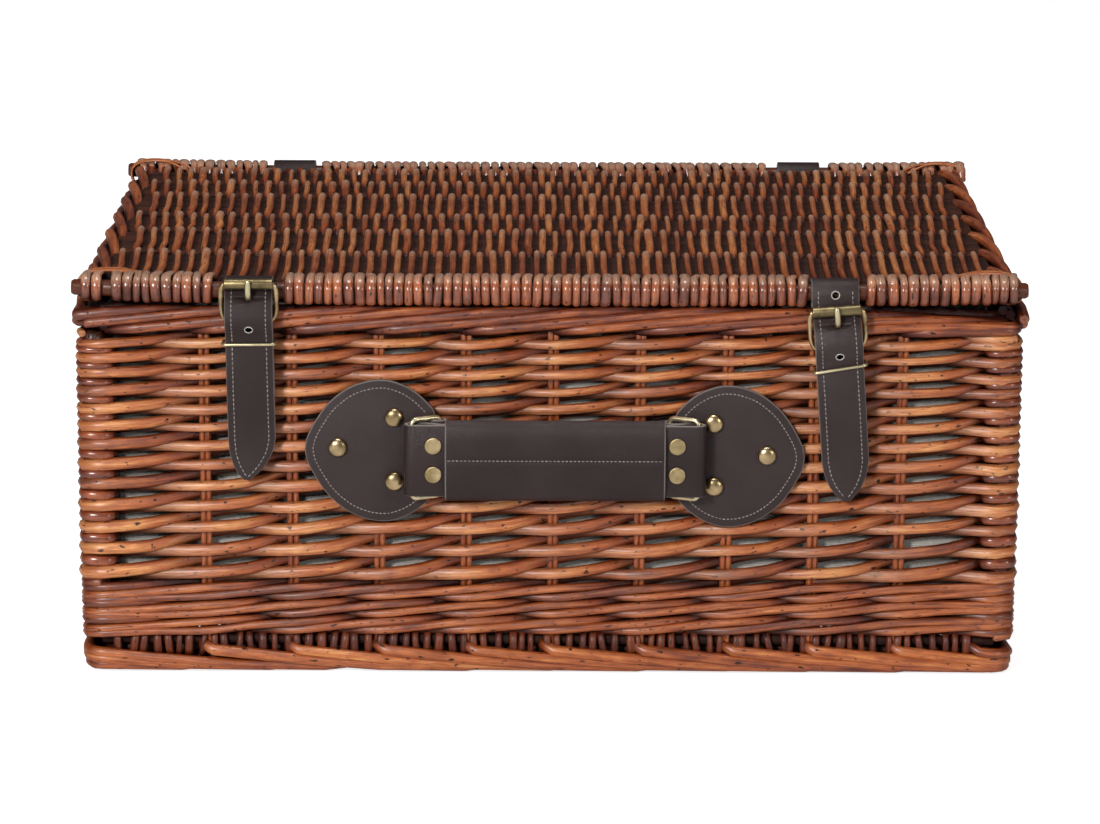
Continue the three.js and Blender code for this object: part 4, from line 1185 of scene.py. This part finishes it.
def hang(points, i):
    """Leans upright points, made about x = 0, about the lid's front stick."""
    p = np.atleast_2d(np.asarray(points, float))
    c, s = math.cos(STRAP_LEAN[i]), math.sin(STRAP_LEAN[i])
    drop = STICK_Z - p[:, 2]
    lean = np.clip(drop / 8, 0, 1)
    out = p.copy()
    out[:, 0] = STRAP_X[i] + p[:, 0] * (1 - lean) + (p[:, 0] * c + drop * s) * lean
    out[:, 2] = p[:, 2] * (1 - lean) + (STICK_Z + p[:, 0] * s - drop * c) * lean
    return out


def hung_cutter(i, place):
    """The cube or cylinder just added, with its points put where place says and hung."""
    cutter = bpy.context.object
    for v in cutter.data.vertices:
        v.co = metres(hang(place(*v.co), i))[0]
    return cutter


def hole_cutter(i, z):
    bpy.ops.mesh.primitive_cylinder_add(vertices=20, radius=1, depth=2)
    return hung_cutter(i, lambda a, b, c: (a * HOLE_RADIUS, STRAP_HEEL_Y - c * 12, z + b * HOLE_RADIUS))


def prong_line(i):
    return hang(through([[0, HEEL_Y + y, HEEL[i] + z] for y, z in PRONG], 1.5), i)


print("straps lean", [round(math.degrees(lean), 1) for lean in STRAP_LEAN], "degrees")

# %% [markdown]
# ## Lid straps
# Each strap loops round the bare part of the lid's front stick, comes down over the buckle and ends in a
# point. It is punched for the prong and stitched along both edges, and the rim of each hole shows the raw
# leather.

# %% Lid straps
STRAP_WIDTH, STRAP_THICK, STRAP_LOOP = 23.4, 2.8, 5.95
TIP_SKEW = (-3.0, -0.6)
# How wide the strap's point is, by the distance from its tip.
TAPER = [(0.6, 0.16), (3.2, 0.42), (8, 0.7), (14, 0.91), (20.8, 1.0)]
SEAM_INSET, HOLE_RIM = 3.3, 1.95


def strap_line(i):
    heel, tip = HEEL[i], TIP[i]
    path = [(-STICK_Y - a, STICK_Z + b) for a, b in arc(range(290, -1 if i else 19, -18), STRAP_LOOP)]
    if i:
        path += [(STRAP_TOP_Y, 192), (STRAP_TOP_Y, heel + 17)]
    path += [(-163.7, heel + 13.6), (-167.0, heel + 10), (STRAP_HEEL_Y, heel + 4), (STRAP_HEEL_Y, heel - 1.0),
             (STRAP_FLAT_Y, heel - 8), (STRAP_FLAT_Y, heel - 23), (STRAP_FLAT_Y + 1, heel - 38),
             (-162.2, (heel - 38 + tip) / 2 - 2), (-161.1, tip + 0.2)]
    line = through([(0, y, z) for y, z in path], 2.2)
    line[:, 0] += TIP_SKEW[i] * np.clip((tip + 22 - line[:, 2]) / 22, 0, 1) ** 1.5
    return line


def lid_strap(i, side):
    line, body = strap_line(i), f"strap_{side}"
    width = STRAP_WIDTH * np.interp(line[:, 2] - TIP[i], *zip(*TAPER))
    hung = hang(line, i)
    lean = np.clip((STICK_Z - line[:, 2]) / 12, 0, 1) * STRAP_LEAN[i]
    across = np.column_stack([np.cos(lean), np.zeros(len(line)), np.sin(lean)])
    made, facing = strip(f"lid_strap_{side}", hung, across, width, STRAP_THICK, LEATHER)
    holes = [HEEL[i] - 3, HEEL[i] + 26] if i else [HEEL[i] - 3]
    for z in holes:
        punch(made, hole_cutter(i, z))
    punch(made, single("slot", LEATHER, prong_line(i), 1.6, FRONT, (1, 0.85), 12, 0.5))

    face = hung + facing * (STRAP_THICK / 2)
    start = next(k for k in range(15, len(line)) if line[k, 1] < -157.2)
    end = next(k for k in range(start, len(line)) if width[k] / 2 <= 3.4) + 1
    seam = across * np.maximum(width / 2 - SEAM_INSET, 0)[:, None]
    threads = stitches(f"strap_stitches_{side}",
                       [((face + seam * edge)[start:end], facing[start:end]) for edge in (-1, 1)])

    rims = Bundle()
    for z in holes:
        k = int(np.argmin(abs(line[start:, 2] - z))) + start
        upward = np.cross(facing[k], across[k])
        circle = [face[k] + across[k] * a + upward * b for a, b in arc(np.arange(20) * 18, HOLE_RIM)]
        rims.rod(circle, 0.3, facing[k], closed=True, sides=6, tint=1.0)
    settle(made, "leather", f"strap_{side}", body=body)
    settle(threads, "leather", body=body)
    settle(rims.make(f"hole_rims_{side}", RAW_EDGE), "leather", body=body)


for i, side in enumerate(SIDES):
    lid_strap(i, side)

# %% [markdown]
# ## Buckles
# Each buckle is a wire frame with a roller on its upper bar and a prong that turns on the lower bar.
# A thin wire keeper holds strap and tab together below it.

# %% Buckles and keepers
BAR, BUCKLE_TILT = 9.55, math.asin(2.3 / 19.1)
# Half of the frame's outline, from the upper bar to the lower one.
BUCKLE_HALF = [(0, BAR), (9, BAR), (12.1, 9.4), (13.3, 7.4), (13.6, 4.5), (13.5, 0), (13.4, -3.5), (12.6, -7),
               (10.6, -9.2), (7, -BAR)]
ROLLER = [(-12.2, 2.35), (-11.8, 2.6), (-11.4, 2.68), (0, 2.68), (11.4, 2.68), (11.8, 2.6), (12.2, 2.35)]
KEEPER_DROP, KEEPER_SLOPE, KEEPER_Y = (10.9, 9.7), (0, 0.09), -163.85


def rounded(width, height, r):
    """Corner-rounded rectangle of (a, b) points, anticlockwise from the upper right."""
    return [(sa * (width / 2 - r) + a, sb * (height / 2 - r) + b)
            for sa, sb, turn in CORNERS for a, b in arc(range(turn, turn + 91, 18), r)]


def buckle(i, side):
    heel = HEEL[i]

    def on_frame(a, b):
        up = b + BAR
        return [a, HEEL_Y - up * math.sin(BUCKLE_TILT), heel + up * math.cos(BUCKLE_TILT)]

    outline = BUCKLE_HALF + [(0, -BAR)] + [(-a, b) for a, b in BUCKLE_HALF[:0:-1]]
    wire = through([(a, b, 0) for a, b in outline], 1.3, closed=True)
    settle(single(f"buckle_wire_{side}", BRASS, hang([on_frame(a, b) for a, b, _ in wire], i), 1.25, FRONT,
                  closed=True, sides=14, tint=0.5), "brass", f"buckle_frame_{side}")
    settle(single(f"buckle_roller_{side}", ROLLER_BRASS, hang([on_frame(a, BAR) for a, _ in ROLLER], i),
                  [r for _, r in ROLLER], FRONT, sides=24, tint=0.5, ends=0.0), "brass", f"roller_{side}")

    tongue, line = Bundle(), prong_line(i)
    tongue.rod(line, [1.45] * (len(line) - 2) + [1.35, 1.2], FRONT, (1.04, 0.72), tint=0.5, ends=0.0)
    ring = hang([[0, HEEL_Y + a, heel + b] for a, b in arc(np.arange(16) * 22.5, 2.2)], i)
    tongue.rod(ring, 0.6, (1, 0, 0), (1.0, 2.4), 10, 0.5, closed=True)
    settle(tongue.make(f"buckle_prong_{side}", BRIGHT_BRASS), "brass", f"prong_{side}")

    z = heel - KEEPER_DROP[i]
    loop = hang([[a, KEEPER_Y + b, z + a * KEEPER_SLOPE[i]] for a, b in rounded(26.0, 9.3, 1.8)], i)
    settle(single(f"strap_keeper_{side}", BRIGHT_BRASS, loop, 0.8, closed=True, sides=10, tint=0.5), "brass",
           f"keeper_{side}")


for i, side in enumerate(SIDES):
    buckle(i, side)

# %% [markdown]
# ## Buckle tabs
# A short leather tab is folded round the buckle's lower bar, slotted for the prong and riveted to the front
# wall.

# %% Buckle tabs
TAB_FOLD, TAB_WIDTH, TAB_THICK = 2.6, 23.0, 1.9


def tab_slot(i):
    bpy.ops.mesh.primitive_cube_add(size=1)
    return hung_cutter(i, lambda a, b, c: (4.6 * a, HEEL_Y + 16 * b, HEEL[i] + 1.9 + 12.2 * c))


def buckle_tab(i, side):
    heel = HEEL[i]
    path = [(-157.9, heel - 38.7), (-157.9, heel - 30), (-158.2, heel - 24.5), (-161.3, heel - 17),
            (-161.3, heel - 4)]
    path += [(HEEL_Y + a, heel + b) for a, b in arc(range(0, 181, 30), TAB_FOLD)]
    path += [(-163.3, heel - 6), (-163.4, heel - 17.5), (-160.2, heel - 25), (-159.9, heel - 38.9)]
    line = hang(through([(0, y, z) for y, z in path], 1.8), i)
    across = (math.cos(STRAP_LEAN[i]), 0, math.sin(STRAP_LEAN[i]))
    made, _ = strip(f"folded_tab_{side}", line, across, TAB_WIDTH, TAB_THICK, LEATHER)
    punch(made, tab_slot(i))
    settle(made, "leather", f"buckle_tab_{side}")


for i, side in enumerate(SIDES):
    buckle_tab(i, side)

# %% [markdown]
# ## Hinge straps
# Two leather straps loop round the lid's back stick and are riveted to the back wall. The lid turns in their
# loops.

# %% Hinge straps
HINGE_WIDTH, HINGE_END = 23.5, 134.5


def hinge_strap(i, side):
    path = [(STICK_Y + a, STICK_Z + b) for a, b in arc(range(290, -1, -18), STRAP_LOOP)]
    path += [(161.7, 190), (161.7, 176), (160.6, 170), (158.3, 162), (158.2, 150), (158.2, 134.7)]
    line = through([(HINGE_X[i], y, z) for y, z in path], 2.4)
    rounding = np.where(line[:, 2] < HINGE_END + 4, 1 - (line[:, 2] - HINGE_END) / 5, 0)
    width = HINGE_WIDTH * np.sqrt(1 - 0.35 * rounding**2)
    made, facing = strip(f"hinge_leather_{side}", line, (1, 0, 0), width, STRAP_THICK, LEATHER, looks=1)
    start = next(k for k in range(14, len(line)) if line[k, 1] > 159)
    face = line + facing * (STRAP_THICK / 2)
    threads = stitches(f"hinge_stitches_{side}",
                       [((face + (edge, 0, 0))[start:-1], facing[start:-1]) for edge in (-8.5, 8.5)])
    settle(made, "leather", f"hinge_strap_{side}")
    settle(threads, "leather", body="basket")


for i, side in enumerate(SIDES):
    hinge_strap(i, side)

# %% [markdown]
# ## Handle patches
# A drop of leather on each side of the handle is cut from thick hide, stitched round its edge and riveted to
# the wall. It is laid flat as a face, extruded to its thickness and bevelled. Its inner end is rolled round
# the ring's wire.

# %% Patches
HANDLE_X, HANDLE_Z = 2.8, 114.2
PATCH_WIRE, PATCH_WIRE_Y = 56.8, -160.65
PATCH_FACE, PATCH_THICK, PATCH_SEAM = -159.3, 2.5, 4.1
PATCH_UP = {"left": 1.5, "right": 0.3}
PATCH_OUTLINE = [(3.7, 22.3), (9.7, 28.4), (16.2, 32.8), (23.8, 35.6), (29.2, 36.1), (36.2, 35.2),
                 (45.6, 31.5), (55.1, 23.8), (61.8, 14.3), (66, 5.8), (67, 0)]


def patch(side, name):
    def at(out, up, y):
        return [HANDLE_X + side * (PATCH_WIRE + out), y, HANDLE_Z + up + (PATCH_UP[name] - side * 0.02 * out)]

    upper = through([[o, u, 0] for o, u in PATCH_OUTLINE], 2.5)[:, :2].tolist()
    ring = [(2.7, 17.5), (2.7, 20.0), *upper, *((o, -u) for o, u in reversed(upper[:-1])), (2.7, -20.0),
            (2.7, -17.5)]
    mesh = bpy.data.meshes.new("patch_" + name)
    back = metres([at(o, u, PATCH_FACE + PATCH_THICK) for o, u in ring])
    mesh.from_pydata(back.tolist(), [], [list(range(len(ring)))])
    made = stand("patch_leather_" + name, mesh)
    take_up(made)
    bpy.ops.object.mode_set(mode="EDIT")
    bpy.ops.mesh.select_all(action="SELECT")
    bpy.ops.mesh.extrude_region_move(TRANSFORM_OT_translate={"value": (0, -PATCH_THICK * MM, 0)})
    bpy.ops.object.mode_set(mode="OBJECT")
    face_outward(made)
    soft = made.modifiers.new("soft_edge", "BEVEL")
    soft.width, soft.segments, soft.limit_method = 0.6 * MM, 3, "ANGLE"
    bpy.ops.object.modifier_apply(modifier="soft_edge")
    depth = np.array([v.co.y / MM - MID_Y - PATCH_FACE for v in made.data.vertices])
    pale_marks = np.select([depth < 0.02, depth < 1.9], [0.0, 0.55], 0.3)
    made.data.attributes.new("cut", "FLOAT", "POINT").data.foreach_set("value", pale_marks)
    made.data.materials.append(LEATHER)
    smooth(made, 35)

    loop = [at(9.5, 0, -157.95), at(4, 0, -157.95),
            *(at(a, 0, PATCH_WIRE_Y + b) for a, b in arc(range(90, 271, 20), 2.75)),
            at(3.5, 0, -163.0), at(7, 0, -161.0), at(11, 0, -160.3)]
    rolled, _ = strip("patch_loop_" + name, through(loop, 1.2), UP, 34.8, 2.1, LEATHER)

    outline = np.array(ring[1:-1])
    along = unit(outline[2:] - outline[:-2])
    inset = outline[1:-1] + np.column_stack([along[:, 1], -along[:, 0]]) * PATCH_SEAM
    seam = np.array([at(o, u, PATCH_FACE) for o, u in inset if o > 6.5])
    threads = stitches("patch_stitches_" + name, [(seam, FRONT)], 1.95, 1.2)
    settle(made, "leather", "handle_patch_" + name)
    settle(rolled, "leather", body="basket")
    settle(threads, "leather", body="basket")


patch(-1, "left")
patch(1, "right")

# %% [markdown]
# ## Grip
# The grip is a padded roll of leather, sewn shut along the middle of its front, where the seam draws it in a
# little.

# %% Padded grip
GRIP_HALF, GRIP_HEIGHT, GRIP_FRONT = 54.25, 41.0, -174.8
END_Y, SEAM_UP = -167.3, 1.0
GRIP_Y = END_Y - 2.1
# How far the roll is drawn in near its ends, by the distance from the end.
GRIP_ENDS = ((0, 0.25, 0.8), (0.965, 0.99, 1.0))


def grip_ring():
    """The roll's section: how far each point lies behind the middle, and how high."""
    half, ring = GRIP_HEIGHT / 2, []
    for z in np.linspace(-1, 1, 33):
        groove = 0.45 * math.exp(-((z * half - SEAM_UP) / 0.7) ** 2)
        ring.append((groove - 5.4 * (1 - abs(z) ** 5) ** 0.5, z * half))
    return ring + [(4.6 * (1 - abs(z) ** 6) ** 0.5, z * half) for z in np.linspace(1, -1, 25)[1:-1]]


def grip():
    ring, points, cuts = grip_ring(), [], []
    ends = [-GRIP_HALF, -GRIP_HALF + 0.25, -GRIP_HALF + 0.8]
    xs = [*ends, *np.linspace(-GRIP_HALF + 3, GRIP_HALF - 3, 24), *(-x for x in reversed(ends))]
    for x in xs:
        size = np.interp(GRIP_HALF - abs(x), *GRIP_ENDS)
        flatter = 1 - 0.008 * 0.35 * math.cos(x / GRIP_HALF * math.pi / 2)
        points += [(HANDLE_X + x, GRIP_Y + y * size, HANDLE_Z + z * size * flatter) for y, z in ring]
        cuts += [0.6 if GRIP_HALF - abs(x) < 0.3 else 0.0] * len(ring)
    bundle = Bundle()
    bundle.solid(np.array(points), len(ring), cuts, np.array(xs) / 100)
    made = bundle.make("handle_roll", GRIP_LEATHER)
    face_outward(made)
    smooth(made, 50)
    seam = np.linspace((-GRIP_HALF + 1, 0, 0), (GRIP_HALF - 1, 0, 0), 30)
    seam = seam + (HANDLE_X, GRIP_FRONT + 0.35, HANDLE_Z + SEAM_UP)
    threads = stitches("handle_stitches", [(seam, FRONT)], 2.0, 1.2)
    settle(made, "leather", "handle_grip")
    settle(threads, "leather", body="handle")


grip()

# %% [markdown]
# ## Handle ends and rings
# Two wire rings join the patches to the handle. A folded strip at each end of the grip goes round the ring
# and is closed with two flat rivets.

# %% Ends and rings
FOLD_X, FOLD_RADIUS, FOLD_WIDTH, FOLD_THICK = 70.3, 3.1, 36.2, 2.25
RING_OUT, RING_FORWARD, RING_HEIGHT = 13.8, 6.65, 39.8


def handle_end(side, name):
    path = [(53.0, -3.05), (58, -3.1), (64, -3.1), (69, -3.1)]
    path += [(FOLD_X + a, b) for a, b in arc(range(-90, 91, 20), FOLD_RADIUS)]
    path += [(67, 3.1), (63.5, 2.2), (60, 0.5), (56, -0.7), (53.0, -0.75)]
    line = through([(HANDLE_X + side * out, END_Y + y, HANDLE_Z) for out, y in path], 1.2)
    made, _ = strip("handle_fold_" + name, line, UP, FOLD_WIDTH, FOLD_THICK, GRIP_LEATHER)
    settle(made, "leather", "handle_end_" + name)

    span = math.hypot(RING_OUT, RING_FORWARD)
    loop = []
    for a, b in rounded(span, RING_HEIGHT, 2.6):
        share = a / span + 0.5
        loop.append((HANDLE_X + side * (PATCH_WIRE + share * RING_OUT), PATCH_WIRE_Y - share * RING_FORWARD,
                     HANDLE_Z + b))
    ring = single("handle_ring_" + name, BRIGHT_BRASS, loop, 1.35, (0, -1, 0.001), closed=True, sides=14,
                  tint=0.5)
    settle(ring, "brass", "ring_" + name)


handle_end(-1, "left")
handle_end(1, "right")

# %% [markdown]
# ## Rivets
# The rivets are turned parts. A circle is extruded ring by ring into a head that is domed on the patches and
# nearly flat on the handle, with its shank behind it.

# %% Rivets
SHANK, SHANK_END, HEAD_BASE = 0.42, -2.4, 0.05
# Share of the radius and share of the height.
DOMED_HEAD = [(math.cos(t), 0.35 + 0.65 * math.sin(t)) for t in np.radians((20, 38, 55, 70, 82))]
FLAT_HEAD = [(0.985, 0.7), (0.94, 0.88), (0.85, 0.94), (0.6, 0.98), (0.3, 1)]
RIVET_SPOTS = {"left": (("high", 79.6, 19.3), ("low", 79.6, -13.2), ("outer", 107.5, 4)),
               "right": (("high", 78.4, 16.9), ("low", 79.0, -15.4), ("outer", 105.0, 0.6))}


def rivet(name, node, at, looks, radius, height, finish):
    """at is on the leather's face, and the head looks to -1 the front or 1 the back."""
    bpy.ops.mesh.primitive_circle_add(vertices=32, radius=radius * SHANK, fill_type="NGON")
    made = bpy.context.object
    made.name = name
    bpy.ops.object.mode_set(mode="EDIT")
    bpy.ops.mesh.select_all(action="SELECT")
    head = FLAT_HEAD if height / radius < 0.4 else DOMED_HEAD
    profile = [(SHANK, HEAD_BASE), (0.96, HEAD_BASE)]
    profile += [(share, z * height) for share, z in [(1.0, 0.35), *head]]
    size, level = SHANK, SHANK_END
    bpy.ops.transform.translate(value=(0, 0, level))
    for share, z in profile:
        bpy.ops.mesh.extrude_region_move(TRANSFORM_OT_translate={"value": (0, 0, z - level)})
        bpy.ops.transform.resize(value=(share / size, share / size, 1))
        size, level = share, z
    bpy.ops.object.mode_set(mode="OBJECT")
    face_outward(made)
    turn = Matrix.Rotation(math.radians(-90 * looks), 4, "X")
    made.data.transform(Matrix.Translation(metres(at)) @ turn @ Matrix.Scale(MM, 4))
    made.data.materials.append(finish)
    smooth(made, 40)
    settle(made, "brass", node)


for side, name in ((-1, "left"), (1, "right")):
    for level, out, up in RIVET_SPOTS[name]:
        rivet(f"dome_{name}_{level}", f"patch_rivet_{name}_{level}",
              (HANDLE_X + side * out, PATCH_FACE, HANDLE_Z + up), -1, 4.7, 3.3, BRASS)
    for level, up in (("high", 7.9), ("low", -6.7)):
        rivet(f"flat_{name}_{level}", f"end_rivet_{name}_{level}",
              (HANDLE_X + side * 60.1, END_Y - 4.25, HANDLE_Z + up), -1, 4.2, 1.2, BRUSHED_BRASS)
for i, name in enumerate(SIDES):
    x, _, z = hang([0, 0, HEEL[i] - 31], i)[0]
    rivet(f"tab_stud_{name}", f"tab_rivet_{name}", (x, -160.85, z), -1, 4.0, 1.9, BRASS)
    for level, z in (("low", 142.5), ("high", 156.5)):
        rivet(f"hinge_stud_{name}_{level}", f"hinge_rivet_{name}_{level}", (HINGE_X[i], 159.6, z), 1,
              4.0, 1.9, BRASS)
